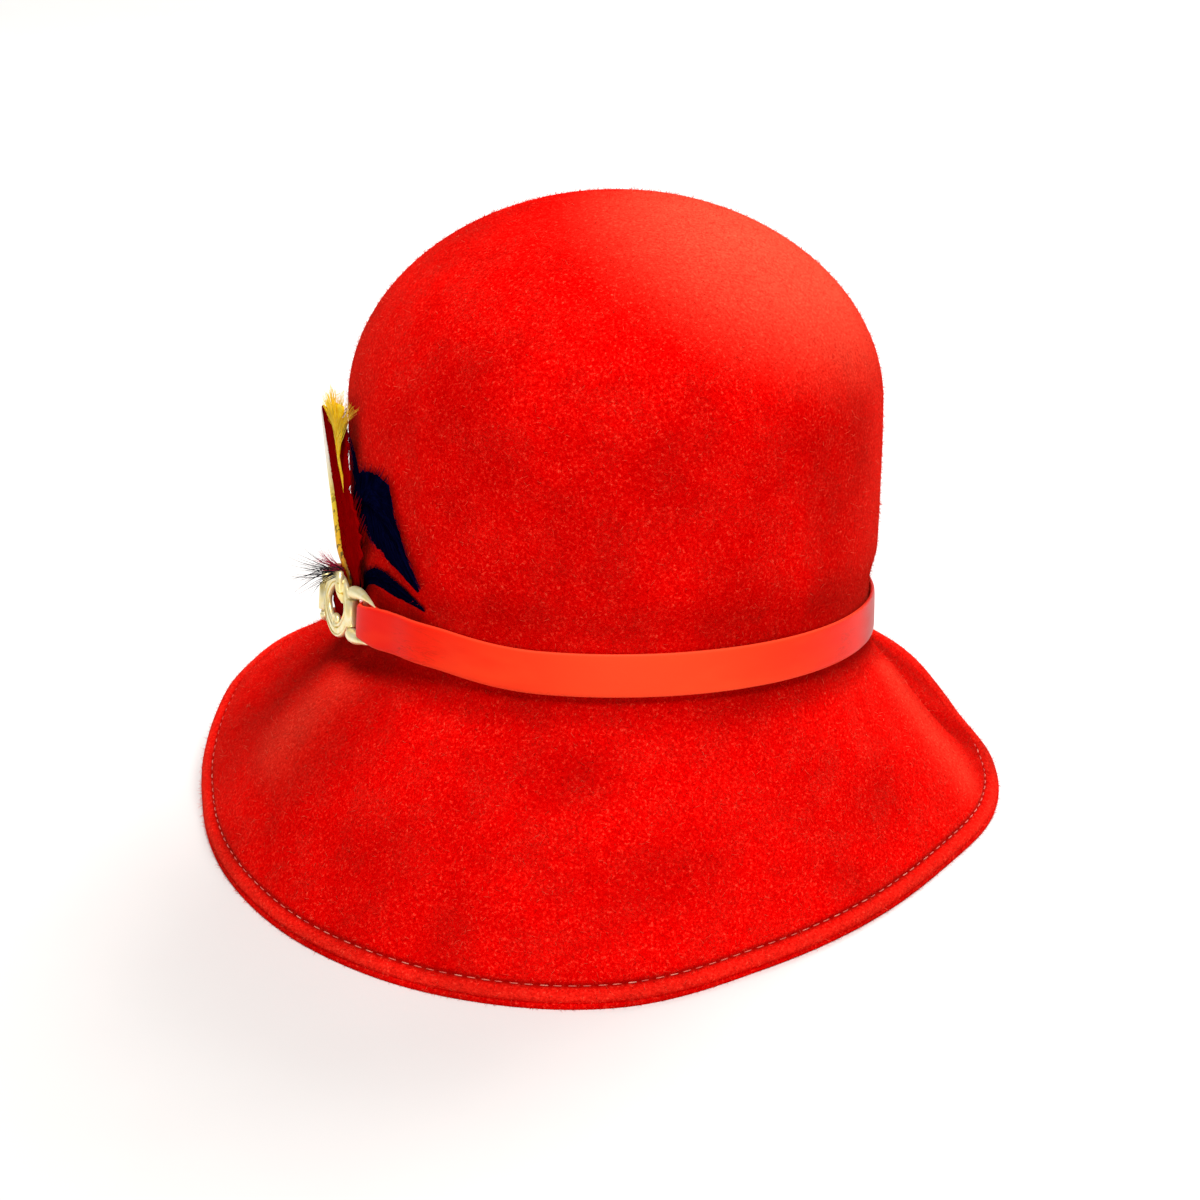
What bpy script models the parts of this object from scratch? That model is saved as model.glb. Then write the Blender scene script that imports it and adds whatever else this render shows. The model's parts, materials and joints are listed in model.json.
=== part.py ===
"""Red felt cloche hat with a leather band, a gilt link and a spray of feathers.

Metres, +Z up. The hat rests on its brim at z = 0 with its front towards -Y, and the origin is under the
middle of the brim. The crown leans back, and the band and its trim are laid out in the crown's own frame.
"""

import math

import bmesh
import bpy
from mathutils import Matrix, Vector

# Crown, outside sizes, measured along its own leaning axis from the break with the brim
CROWN_HALF_WIDTH = 0.0855
CROWN_HALF_LENGTH = 0.1020
CROWN_HEIGHT = 0.1435
WIDEST_HEIGHT = 0.078
CROWN_TAPER = 0.0014  # how much the crown narrows from its widest down to the break
STRAP_PINCH = 0.0021  # how much further the strap draws the felt in
PINCH_FADE = 0.012  # the height over which the felt comes back out above the strap
DOME_POWER = 1.95  # 2 is an ellipse, less is a little more pointed
CROWN_LEAN = math.radians(11.0)
BREAK_HEIGHT = 0.055  # the middle of the break above the floor
FELT_WALL = 0.0022

# Brim
BRIM_REACH = 0.150  # from the crown's foot to the edge, where it reaches furthest
BRIM_LIFT = 0.010  # how far the edge rises from the floor at most
BRIM_BELLY = 0.005  # how far the brim swells from a straight slope at most
FOLD_HEIGHT = 0.003
FOLD_STARTS = 0.2  # the shares of the slope over which a fold rises and dies away
FOLD_ENDS = 0.3
DENT_DEPTH = 0.0016
HEM_WIDTH = 0.008
REST_PRESS = 0.0011  # what the felt's own weight flattens where the edge rests

# Leather strap round the crown
STRAP_WIDTH = 0.013
STRAP_THICKNESS = 0.0016
STRAP_HEIGHT = 0.011  # its middle above the break
STRAP_RISE = 0.0035  # how much higher it runs at the link
STRAP_GAP = 0.0004  # between the strap and the felt
STRAP_TURN_BACK = 0.022  # the length turned back under each end
STRAP_END_WIDTH = 0.0106  # its width in the loops
STRAP_TAPER = 0.012  # the length over which it narrows to a loop

# Gilt rings and link
RING_LENGTH = 0.0122  # between the middles of the ring's two bars
RING_HEIGHT = 0.0142  # between the middles of its top and bottom
RING_BAR_RADIUS = 0.00085
CLAW_LENGTH = 0.021  # each side of the ring runs on past the strap's bar to a point
CLAW_RADIUS = 0.0016
BAR_CLEARANCE = 0.0003
BARREL_WALL = 0.0008
BARREL_LENGTH = 0.0085
LINK_LENGTH = 0.0264  # between the middles of its two barrels
LINK_HEIGHT = 0.021
LINK_THICKNESS = 0.0018
EYE_LENGTH = 0.0150
EYE_HEIGHT = 0.0122
KNOB_RADIUS = 0.0017
KNOB_ALONG = 0.16  # its place on the plate, as shares of the plate's length and height
KNOB_UP = 0.41
CURL_RADIUS = 0.0022
CURL_WIRE_RADIUS = 0.0009
CURL_ALONG = 0.02  # its place, as a share of the eye's length

# Where the trim stands: the link's middle round the crown, and how far each joint stands off the felt
LINK_TURN = math.radians(-78.5)
TRIM_LEAN = math.radians(4.0)  # how far the trim leans in at its top, about the link's length
LEAN_FADE = 0.0176  # the length of strap over which the lean dies away
RISE_STARTS = math.radians(63.0)  # from the link's turn, where the strap begins to rise
RISE_ENDS = math.radians(26.0)
STAND_OFF_FRONT_BAR = 0.0046
STAND_OFF_FRONT_BARREL = 0.0060
STAND_OFF_REAR_BARREL = 0.0120
STAND_OFF_REAR_BAR = 0.0062
STRAP_SETTLE = 0.0176  # the length over which the strap comes down off the end turned back under it

# Feathers
FEATHER_THICKNESS = 0.0006
FEATHER_GAP = 0.0004
ROOT_LENGTH = 0.014  # of the wrapped root, along the strap
ROOT_HEIGHT = 0.017
ROOT_THICKNESS = 0.0022
ROOT_SHIFT = -0.004  # from the link's middle, towards the back of the hat
ROOT_RISE = 0.0033
WISP_LENGTH = 0.016
WISP_RADIUS = 0.0009
WISP_FOOT = 0.42  # where the wisps leave the root, as a share of its height

# Counts
AROUND = 60
DOME_RINGS = 10
WALL_RINGS = 4
STRAP_STEPS = 72
LOOP_STEPS = 8

# The brim's edge: azimuth in degrees from the front towards +X, and its reach and lift as shares
EDGE = [
    {"azimuth": 0, "reach": 0.947, "lift": 0.0},
    {"azimuth": 20, "reach": 0.857, "lift": 0.0},
    {"azimuth": 40, "reach": 0.810, "lift": 0.0},
    {"azimuth": 60, "reach": 0.803, "lift": 0.0},
    {"azimuth": 80, "reach": 0.850, "lift": 0.0},
    {"azimuth": 95, "reach": 0.862, "lift": 0.1},
    {"azimuth": 110, "reach": 0.850, "lift": 0.4},
    {"azimuth": 130, "reach": 0.905, "lift": 0.8},
    {"azimuth": 150, "reach": 0.973, "lift": 0.5},
    {"azimuth": 180, "reach": 0.973, "lift": 0.0},
    {"azimuth": 205, "reach": 1.000, "lift": 0.3},
    {"azimuth": 230, "reach": 0.993, "lift": 1.0},
    {"azimuth": 250, "reach": 0.957, "lift": 1.0},
    {"azimuth": 265, "reach": 0.933, "lift": 0.4},
    {"azimuth": 280, "reach": 0.920, "lift": 0.0},
    {"azimuth": 300, "reach": 0.933, "lift": 0.0},
    {"azimuth": 320, "reach": 0.955, "lift": 0.0},
    {"azimuth": 340, "reach": 0.967, "lift": 0.0},
]

# How far the slope swells at its middle, as a share of BRIM_BELLY
BELLY = [
    {"azimuth": 0, "swell": 0.4},
    {"azimuth": 60, "swell": 0.1},
    {"azimuth": 82, "swell": -0.5},
    {"azimuth": 112, "swell": -0.2},
    {"azimuth": 180, "swell": 0.4},
    {"azimuth": 240, "swell": 0.8},
    {"azimuth": 270, "swell": 1.0},
    {"azimuth": 300, "swell": 0.8},
]

# Soft folds that run down the brim: where, how wide in degrees, between which shares of the slope, how high
FOLDS = [
    {"azimuth": 292, "spread": 11, "near": 0.05, "far": 0.75, "rise": 1.0},
    {"azimuth": 268, "spread": 10, "near": 0.10, "far": 0.80, "rise": -0.8},
    {"azimuth": 76, "spread": 8, "near": 0.00, "far": 0.95, "rise": 1.1},
    {"azimuth": 95, "spread": 9, "near": 0.05, "far": 0.85, "rise": -1.3},
    {"azimuth": 150, "spread": 14, "near": 0.15, "far": 0.90, "rise": 0.5},
    {"azimuth": 215, "spread": 14, "near": 0.15, "far": 0.90, "rise": 0.5},
]

# Shallow dents: where, how wide in degrees and in shares of the slope, how deep
DENTS = [
    {"azimuth": 353, "spread": 9, "place": 0.22, "height": 0.16, "depth": 1.0},
    {"azimuth": 318, "spread": 12, "place": 0.62, "height": 0.20, "depth": 0.8},
    {"azimuth": 6, "spread": 12, "place": 0.58, "height": 0.18, "depth": 0.7},
    {"azimuth": 52, "spread": 13, "place": 0.60, "height": 0.20, "depth": 0.9},
    {"azimuth": 184, "spread": 20, "place": 0.50, "height": 0.25, "depth": 0.8},
]

# Places down the brim's slope where a ring of points goes, before the hem
SLOPE_SHARES = [0.09, 0.20, 0.32, 0.44, 0.56, 0.67, 0.78]

# The half-round of the folded edge, in degrees from the outer face round to the inner face
RIM_TURNS = [0, 40, 85, 140, 180]

# Each feather's base, the place it bends towards and its tip, as distances along the strap from the
# link's middle and up from the break, with its stand-off from the felt at the base and at the tip
FEATHERS = {
    "feather_navy_lower": {
        "base": (0.008, 0.020), "bend": (0.032, 0.0365), "tip": (0.0574, 0.0238),
        "off": 0.0004, "lift": 0.0, "left": 0.0040, "right": 0.0040, "outline": "leaf",
        "colour": (0.004, 0.006, 0.03),
    },
    "feather_navy_upper": {
        "base": (0.005, 0.018), "bend": (0.024, 0.080), "tip": (0.0578, 0.0303),
        "off": 0.0013, "lift": 0.0, "left": 0.0145, "right": 0.0125, "outline": "drooping",
        "colour": (0.004, 0.006, 0.03),
    },
    "feather_red": {
        "base": (0.001, 0.006), "bend": (-0.003, 0.040), "tip": (-0.018, 0.075),
        "off": 0.0022, "lift": 0.0055, "left": 0.002, "right": 0.033, "outline": "quill",
        "colour": (0.18, 0.0, 0.004),
    },
    "feather_yellow": {
        "base": (0.005, 0.008), "bend": (0.010, 0.042), "tip": (0.012, 0.086),
        "off": 0.0031, "lift": 0.0035, "left": 0.011, "right": 0.013, "outline": "fan",
        "colour": (0.9, 0.45, 0.02),
    },
}

# Half widths along a feather on each side of its middle line, as shares of its own widest
OUTLINES = {
    "leaf": [
        {"share": 0.0, "left": 0.12, "right": 0.12},
        {"share": 0.2, "left": 0.50, "right": 0.35},
        {"share": 0.5, "left": 1.00, "right": 0.80},
        {"share": 0.7, "left": 0.80, "right": 1.00},
        {"share": 0.88, "left": 0.40, "right": 0.50},
        {"share": 1.0, "left": 0.08, "right": 0.08},
    ],
    "drooping": [
        {"share": 0.0, "left": 0.08, "right": 0.10},
        {"share": 0.25, "left": 0.50, "right": 0.35},
        {"share": 0.5, "left": 0.80, "right": 0.76},
        {"share": 0.6, "left": 0.82, "right": 0.95},
        {"share": 0.7, "left": 1.00, "right": 1.00},
        {"share": 0.76, "left": 0.50, "right": 0.90},
        {"share": 0.88, "left": 0.18, "right": 0.60},
        {"share": 1.0, "left": 0.04, "right": 0.05},
    ],
    "quill": [
        {"share": 0.0, "left": 0.10, "right": 0.05},
        {"share": 0.12, "left": 0.60, "right": 0.24},
        {"share": 0.22, "left": 1.00, "right": 0.56},
        {"share": 0.34, "left": 1.00, "right": 0.96},
        {"share": 0.46, "left": 1.00, "right": 1.00},
        {"share": 0.58, "left": 0.92, "right": 0.83},
        {"share": 0.74, "left": 0.80, "right": 0.76},
        {"share": 0.86, "left": 0.70, "right": 0.88},
        {"share": 0.93, "left": 0.55, "right": 0.50},
        {"share": 1.0, "left": 0.20, "right": 0.05},
    ],
    "fan": [
        {"share": 0.0, "left": 0.10, "right": 0.10},
        {"share": 0.6, "left": 0.12, "right": 0.10},
        {"share": 0.8, "left": 0.16, "right": 0.14},
        {"share": 0.87, "left": 0.42, "right": 0.36},
        {"share": 0.93, "left": 1.00, "right": 1.00},
        {"share": 1.0, "left": 0.80, "right": 0.60},
    ],
}

# The ring's sides: distance from the barrel, how far the top one stands above the ring's middle and the
# bottom one below it, and thickness, as shares of the claw's length, half the ring's height and its radius
CLAW = [
    {"along": 0.00, "up": 0.74, "down": 0.74, "thick": 0.55},
    {"along": 0.02, "up": 0.84, "down": 0.84, "thick": 0.85},
    {"along": 0.10, "up": 0.95, "down": 0.95, "thick": 1.00},
    {"along": 0.26, "up": 1.00, "down": 1.00, "thick": 1.00},
    {"along": 0.45, "up": 0.99, "down": 0.98, "thick": 0.83},
    {"along": 0.64, "up": 0.98, "down": 0.95, "thick": 0.60},
    {"along": 0.83, "up": 0.99, "down": 0.94, "thick": 0.38},
    {"along": 1.00, "up": 1.01, "down": 0.94, "thick": 0.14},
]

# Wisps that stand out of the root: where each leaves it along its length, how it leans along the strap
# and upwards, and its share of the whole length
WISPS = [
    {"foot": -0.12, "along": -0.45, "up": 0.70, "length": 1.0},
    {"foot": -0.06, "along": -0.10, "up": 0.45, "length": 0.95},
    {"foot": 0.0, "along": 0.15, "up": 0.35, "length": 0.85},
    {"foot": 0.06, "along": -0.25, "up": 1.00, "length": 0.75},
    {"foot": 0.12, "along": 0.30, "up": 0.75, "length": 0.70},
]


def clear_scene():
    for obj in list(bpy.data.objects):
        bpy.data.objects.remove(obj, do_unlink=True)


def make_collection(name):
    collection = bpy.data.collections.new(name)
    bpy.context.scene.collection.children.link(collection)
    return collection


def material(name, colour, roughness, metallic=0.0):
    made = bpy.data.materials.new(name)
    made.use_nodes = True
    shader = made.node_tree.nodes["Principled BSDF"]
    shader.inputs["Base Color"].default_value = (*colour, 1.0)
    shader.inputs["Roughness"].default_value = roughness
    shader.inputs["Metallic"].default_value = metallic
    return made


def object_from(bm, name, collection, finish, parent=None):
    mesh = bpy.data.meshes.new(name)
    bm.to_mesh(mesh)
    bm.free()
    mesh.shade_smooth()
    obj = bpy.data.objects.new(name, mesh)
    if finish:
        obj.data.materials.append(finish)
    collection.objects.link(obj)
    obj.parent = parent
    return obj


def round_value(table, column, azimuth):
    """A smooth closed curve through a table's column, read at an azimuth in degrees."""
    azimuth %= 360
    count = len(table)
    for i, row in enumerate(table):
        following = table[(i + 1) % count]
        start = row["azimuth"]
        end = following["azimuth"] + (360 if i == count - 1 else 0)
        if start <= azimuth < end:
            break
    before, after = table[i - 1][column], table[(i + 2) % count][column]
    first, second = row[column], following[column]
    t = (azimuth - start) / (end - start)
    return 0.5 * (
        2 * first
        + (second - before) * t
        + (2 * before - 5 * first + 4 * second - after) * t**2
        + (3 * first - before - 3 * second + after) * t**3
    )


def smooth_step(x):
    x = min(1.0, max(0.0, x))
    return x * x * (3 - 2 * x)


def bump(x, spread):
    return math.exp(-((x / spread) ** 2))


def turn_between(a, b):
    """The shortest turn from azimuth b to azimuth a, in degrees."""
    return (a - b + 180) % 360 - 180


# The crown's own frame: +Z along its axis from the break, leaning back over the floor
CROWN_FRAME = Matrix.Translation((0, 0, BREAK_HEIGHT)) @ Matrix.Rotation(-CROWN_LEAN, 4, "X")


def crown_radii(height):
    """Half width and half length of the crown at a height above the break."""
    if height <= WIDEST_HEIGHT:
        strap_top = STRAP_HEIGHT + STRAP_RISE + STRAP_WIDTH / 2
        inset = CROWN_TAPER * (1 - smooth_step(height / WIDEST_HEIGHT))
        inset += STRAP_PINCH * (1 - smooth_step((height - strap_top) / PINCH_FADE))
        return CROWN_HALF_WIDTH - inset, CROWN_HALF_LENGTH - inset
    share = (height - WIDEST_HEIGHT) / (CROWN_HEIGHT - WIDEST_HEIGHT)
    size = math.sqrt(max(0.0, 1 - share**DOME_POWER))
    return CROWN_HALF_WIDTH * size, CROWN_HALF_LENGTH * size


def crown_point(turn, height, off=0.0):
    """A point of the crown in its own frame, at a distance off the felt. Turn 0 is the front."""
    a, b = crown_radii(height)
    across = Vector((math.sin(turn) / a, -math.cos(turn) / b, 0)).normalized()
    return Vector((a * math.sin(turn), -b * math.cos(turn), height)) + across * off


def edge_direction(turn):
    return Vector((math.sin(turn), -math.cos(turn), 0))


def edge_point(turn):
    azimuth = math.degrees(turn)
    reach = BRIM_REACH * round_value(EDGE, "reach", azimuth)
    lift = BRIM_LIFT * max(0.0, round_value(EDGE, "lift", azimuth))
    return edge_direction(turn) * reach + Vector((0, 0, lift))


def brim_frame(turn):
    """The break, the slope down to the edge, and the slope's outward normal at one turn."""
    start = CROWN_FRAME @ crown_point(turn, 0)
    slope = edge_point(turn) - start
    side = slope.cross(edge_direction(turn))
    outward = side.cross(slope).normalized()
    return start, slope, outward if outward.z > 0 else -outward


def brim_swell(turn, share):
    """How far the felt stands off the straight slope."""
    azimuth = math.degrees(turn)
    swell = BRIM_BELLY * round_value(BELLY, "swell", azimuth) * 4 * share * (1 - share)
    for fold in FOLDS:
        along = smooth_step((share - fold["near"]) / FOLD_STARTS)
        along *= smooth_step((fold["far"] - share) / FOLD_ENDS)
        across = bump(turn_between(azimuth, fold["azimuth"]), fold["spread"])
        swell += FOLD_HEIGHT * fold["rise"] * along * across
    for dent in DENTS:
        across = bump(turn_between(azimuth, dent["azimuth"]), dent["spread"])
        swell -= DENT_DEPTH * dent["depth"] * across * bump(share - dent["place"], dent["height"])
    return swell


def brim_point(turn, share):
    start, slope, outward = brim_frame(turn)
    return start + slope * share + outward * brim_swell(turn, share)


def hem_share(turn):
    """The share of the slope where the folded hem begins."""
    return 1 - HEM_WIDTH / brim_frame(turn)[1].length


def outer_rings():
    """Rings of points down the outside, from below the tip to the hem's outer face, in world space."""
    turns = [math.tau * i / AROUND for i in range(AROUND)]
    heights = [
        WIDEST_HEIGHT + (CROWN_HEIGHT - WIDEST_HEIGHT) * math.cos(math.pi / 2 * (i + 1) / DOME_RINGS)
        for i in range(DOME_RINGS)
    ]
    heights += [WIDEST_HEIGHT * (1 - (i + 1) / WALL_RINGS) for i in range(WALL_RINGS)]
    rings = [[CROWN_FRAME @ crown_point(turn, height) for turn in turns] for height in heights]
    rings += [[brim_point(turn, share) for turn in turns] for share in SLOPE_SHARES]
    rings.append([brim_point(turn, hem_share(turn)) for turn in turns])
    return rings


def ring_normals(rings, above, below):
    """The outward normal at each point of a stack of rings, from its neighbours."""
    stack = [above, *rings, below]
    found = []
    for i in range(1, len(stack) - 1):
        row = []
        for j in range(AROUND):
            down = stack[i + 1][j] - stack[i - 1][j]
            round_way = stack[i][(j + 1) % AROUND] - stack[i][j - 1]
            row.append(down.cross(round_way).normalized())
        found.append(row)
    return found


def rim_rings():
    """Rings round the folded edge, from its outer face under it to its inner face, flat where it rests."""
    radius = FELT_WALL
    rings = [[] for _ in RIM_TURNS]
    for i in range(AROUND):
        turn = math.tau * i / AROUND
        _, slope, outward = brim_frame(turn)
        fall = slope.normalized()
        edge = edge_point(turn)
        centre = edge - (fall + outward) * radius
        drop = edge.z - REST_PRESS - (centre.z - radius)
        for ring, angle in zip(rings, RIM_TURNS):
            angle = math.radians(angle)
            point = centre + (outward * math.cos(angle) + fall * math.sin(angle)) * radius
            point.z = max(0.0, point.z + drop)
            ring.append(point)
    return rings


def felt_rings():
    """Every ring of the felt, down the outside, round the edge and back up the inside."""
    outer = outer_rings()
    rim = rim_rings()
    tip = CROWN_FRAME @ Vector((0, 0, CROWN_HEIGHT))
    normals = ring_normals(outer, [tip] * AROUND, rim[0])
    inner = [
        [point - normal * FELT_WALL for point, normal in zip(ring, row)]
        for ring, row in zip(outer, normals)
    ]
    hem_top = [point - normal * 2 * FELT_WALL for point, normal in zip(outer[-1], normals[-1])]
    return tip, outer + rim + [hem_top] + inner[::-1]


def make_felt_body(collection, finish, hat):
    tip, rings = felt_rings()
    inner_tip = CROWN_FRAME @ Vector((0, 0, CROWN_HEIGHT - FELT_WALL))
    bm = bmesh.new()
    rows = [[bm.verts.new(point) for point in ring] for ring in rings]
    for upper, lower in zip(rows, rows[1:]):
        for j in range(AROUND):
            k = (j + 1) % AROUND
            bm.faces.new((upper[j], lower[j], lower[k], upper[k]))
    for pole, row in ((tip, rows[0]), (inner_tip, rows[-1])):
        top = bm.verts.new(pole)
        for j in range(AROUND):
            bm.faces.new((top, row[j], row[(j + 1) % AROUND]))
    bmesh.ops.recalc_face_normals(bm, faces=bm.faces)
    bmesh.ops.triangulate(bm, faces=bm.faces)
    return object_from(bm, "felt_body", collection, finish, hat)


def turn_at(along):
    """The turn round the crown at a distance along the strap from the link, positive to the front."""
    a, b = crown_radii(STRAP_HEIGHT)
    steps = 80
    turn = LINK_TURN
    for _ in range(steps):
        pace = math.hypot(a * math.cos(turn), b * math.sin(turn))
        turn += along / steps / pace
    return turn


def strap_point(along, off):
    """A point in the crown's frame at the strap's middle height, which rises towards the link."""
    turn = turn_at(along)
    away = abs((turn - LINK_TURN + math.pi) % math.tau - math.pi)
    rise = STRAP_RISE * smooth_step((RISE_STARTS - away) / (RISE_STARTS - RISE_ENDS))
    foot = crown_point(turn, STRAP_HEIGHT, off)
    return foot + Vector((0, 0, rise))


def step_to(start, off, length, way):
    """The place along the strap, at a stand-off, that lies a straight length from a point."""
    along = start[0] + way * length
    for _ in range(6):
        reached = (strap_point(along, off) - strap_point(*start)).length
        along += way * (length - reached)
    return along, off


# The trim's four joints, each a distance along the strap and a stand-off from the felt
FRONT_BARREL = (LINK_LENGTH / 2, STAND_OFF_FRONT_BARREL)
REAR_BARREL = step_to(FRONT_BARREL, STAND_OFF_REAR_BARREL, LINK_LENGTH, -1)
FRONT_BAR = step_to(FRONT_BARREL, STAND_OFF_FRONT_BAR, RING_LENGTH, 1)
REAR_BAR = step_to(REAR_BARREL, STAND_OFF_REAR_BAR, RING_LENGTH, -1)


def frame_between(rear, front):
    """A frame at the middle of two joints: X to the front one, Y up the crown, Z off the felt."""
    start, end = strap_point(*rear), strap_point(*front)
    along = (end - start).normalized()
    up = Vector((0, 0, 1))
    out = along.cross(up)
    turned = Matrix((along, up, out)).transposed().to_4x4()
    return Matrix.Translation((start + end) / 2) @ turned


LINK_FRAME = frame_between(REAR_BARREL, FRONT_BARREL)


def lean_by(share):
    """The turn that leans the trim in at its top, by a share of its whole lean."""
    return LINK_FRAME @ Matrix.Rotation(-TRIM_LEAN * share, 4, "X") @ LINK_FRAME.inverted()


def strap_line():
    """The strap's middle line, with its share of the lean and of the narrowing at each point.

    Each end is turned back under the strap and looped round its bar.
    """
    loop = RING_BAR_RADIUS + BAR_CLEARANCE + STRAP_THICKNESS / 2
    rest = STRAP_GAP + STRAP_THICKNESS / 2
    a, b = crown_radii(STRAP_HEIGHT)
    girth = math.pi * (3 * (a + b) - math.sqrt((3 * a + b) * (a + 3 * b)))
    front, rear = FRONT_BAR[0], REAR_BAR[0] + girth
    settles = STRAP_TURN_BACK + STRAP_SETTLE / 4

    def shares(away):
        return 1 - smooth_step(away / LEAN_FADE), 1 - smooth_step(away / STRAP_TAPER)

    def end_of(bar, way):
        """The turned-back end and its loop, from the hidden tip round to the outer face."""
        along, off = bar
        low = off - loop
        points = []
        for share in (1.0, 0.75, 0.5, 0.25):
            away = STRAP_TURN_BACK * share
            points.append((along + way * away, rest + (low - rest) * (1 - share), *shares(away)))
        for i in range(LOOP_STEPS + 1):
            angle = math.pi * i / LOOP_STEPS
            points.append((along - way * loop * math.sin(angle), off - loop * math.cos(angle), *shares(0)))
        return points

    def main_off(along):
        """How far the main run stands off, as it comes down from each loop past the end under it."""
        highs = []
        for place, off in ((front, FRONT_BAR[1]), (rear, REAR_BAR[1])):
            away = abs(along - place)
            top = off + loop
            under = rest + STRAP_THICKNESS + STRAP_GAP
            if away < settles:
                highs.append(top + (under - top) * smooth_step(away / STRAP_TURN_BACK))
            else:
                highs.append(under + (rest - under) * smooth_step((away - settles) / STRAP_SETTLE))
        return max(highs)

    run = []
    for i in range(STRAP_STEPS):
        along = front + (rear - front) * (i + 1) / (STRAP_STEPS + 1)
        run.append((along, main_off(along), *shares(min(along - front, rear - along))))
    line = end_of((front, FRONT_BAR[1]), 1) + run + end_of((rear, REAR_BAR[1]), -1)[::-1]
    return [(strap_point(along, off), lean, narrow) for along, off, lean, narrow in line]


def make_leather_strap(collection, finish, crown):
    bm = bmesh.new()
    pairs = []
    for point, lean_share, narrow_share in strap_line():
        half = Vector((0, 0, STRAP_WIDTH + (STRAP_END_WIDTH - STRAP_WIDTH) * narrow_share)) / 2
        lean = lean_by(lean_share)
        pairs.append((bm.verts.new(lean @ (point - half)), bm.verts.new(lean @ (point + half))))
    for (low, high), (next_low, next_high) in zip(pairs, pairs[1:]):
        bm.faces.new((low, next_low, next_high, high))
    strap = object_from(bm, "leather_strap", collection, finish, crown)
    wall = strap.modifiers.new("thickness", "SOLIDIFY")
    wall.thickness = STRAP_THICKNESS
    wall.offset = 0
    wall.use_even_offset = True
    return strap


def mesh_of(curve, name, collection, finish, parent, place):
    """A curve's solid as a welded mesh."""
    drawn = bpy.data.objects.new(name + "_drawn", curve)
    collection.objects.link(drawn)
    bpy.context.view_layer.update()
    graph = bpy.context.evaluated_depsgraph_get()
    bm = bmesh.new()
    bm.from_mesh(bpy.data.meshes.new_from_object(drawn.evaluated_get(graph)))
    bpy.data.objects.remove(drawn)
    bmesh.ops.remove_doubles(bm, verts=bm.verts, dist=0.00001)
    bmesh.ops.recalc_face_normals(bm, faces=bm.faces)
    made = object_from(bm, name, collection, finish, parent)
    made.matrix_local = place
    return made


def wire(name, points, kind, collection, parent, place):
    """A round wire through points, each an x, a y and a radius."""
    curve = bpy.data.curves.new(name, "CURVE")
    curve.dimensions = "3D"
    curve.bevel_depth = 1.0
    curve.bevel_resolution = 2
    curve.resolution_u = 2
    curve.use_fill_caps = True
    spline = curve.splines.new(kind)
    rows = spline.bezier_points if kind == "BEZIER" else spline.points
    rows.add(len(points) - 1)
    for row, (x, y, radius) in zip(rows, points):
        row.radius = radius
        if kind == "BEZIER":
            row.co = (x, y, 0)
            row.handle_left_type = row.handle_right_type = "AUTO"
        else:
            row.co = (x, y, 0, 1)
    return mesh_of(curve, name, collection, None, parent, place)


def make_ring(name, inner_joint, outer_joint, way, collection, cutters, finish, crown):
    """A bar in the barrel and a bar in the strap's loop, joined by two thick sides that taper to points."""
    joints = (inner_joint, outer_joint) if way > 0 else (outer_joint, inner_joint)
    place = lean_by(1) @ frame_between(*joints)
    barrel_side = place @ Matrix.Translation((-way * RING_LENGTH / 2, 0, 0))
    strap_side = place @ Matrix.Translation((way * RING_LENGTH / 2, 0, 0))
    reach = RING_HEIGHT * CLAW[0]["up"] + RING_BAR_RADIUS
    ring = cylinder(name, RING_BAR_RADIUS, reach, collection, crown, barrel_side)
    ring.data.materials.append(finish)
    bar_length = RING_HEIGHT * 0.93
    joined = [cylinder(name + "_strap_bar", RING_BAR_RADIUS, bar_length, cutters, crown, strap_side)]
    for side, column in ((1, "up"), (-1, "down")):
        points = [
            (
                way * CLAW_LENGTH * row["along"],
                side * RING_HEIGHT / 2 * row[column],
                CLAW_RADIUS * row["thick"],
            )
            for row in CLAW
        ]
        joined.append(wire(f"{name}_{column}", points, "BEZIER", cutters, crown, barrel_side))
    return combine(ring, joined, [])


def flat_outline(name, outlines, thickness, collection, finish, parent, place):
    """A plate with holes, from a filled flat curve."""
    curve = bpy.data.curves.new(name, "CURVE")
    curve.dimensions = "2D"
    curve.fill_mode = "BOTH"
    curve.extrude = thickness / 2
    for outline in outlines:
        spline = curve.splines.new("POLY")
        spline.points.add(len(outline) - 1)
        for point, (x, y) in zip(spline.points, outline):
            point.co = (x, y, 0, 1)
        spline.use_cyclic_u = True
    return mesh_of(curve, name, collection, finish, parent, place)


def oval(length, height, power, count, waist=0.0):
    """A closed oval outline. A waist draws its ends in, as on an eye."""
    outline = []
    for i in range(count):
        angle = math.tau * i / count
        x, y = math.cos(angle), math.sin(angle)
        x = math.copysign(abs(x) ** (2 / power), x)
        y = math.copysign(abs(y) ** (2 / power), y)
        outline.append((x * length / 2, y * height / 2 * (1 - waist * x * x)))
    return outline


def cylinder(name, radius, length, collection, parent, place, sides=16):
    """A cylinder along its own Y."""
    bm = bmesh.new()
    bmesh.ops.create_cone(
        bm, cap_ends=True, segments=sides, radius1=radius, radius2=radius, depth=length,
        matrix=Matrix.Rotation(math.pi / 2, 4, "X"),
    )
    made = object_from(bm, name, collection, None, parent)
    made.matrix_local = place
    return made


def combine(target, joined, cut):
    """Adds Booleans that join helpers to a part and cut others from it, and hides the helpers."""
    for operation, helpers in (("UNION", joined), ("DIFFERENCE", cut)):
        for helper in helpers:
            helper.hide_render = True
            helper.display_type = "WIRE"
            boolean = target.modifiers.new(f"{operation.lower()} {helper.name}", "BOOLEAN")
            boolean.operation = operation
            boolean.object = helper
    return target


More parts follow.
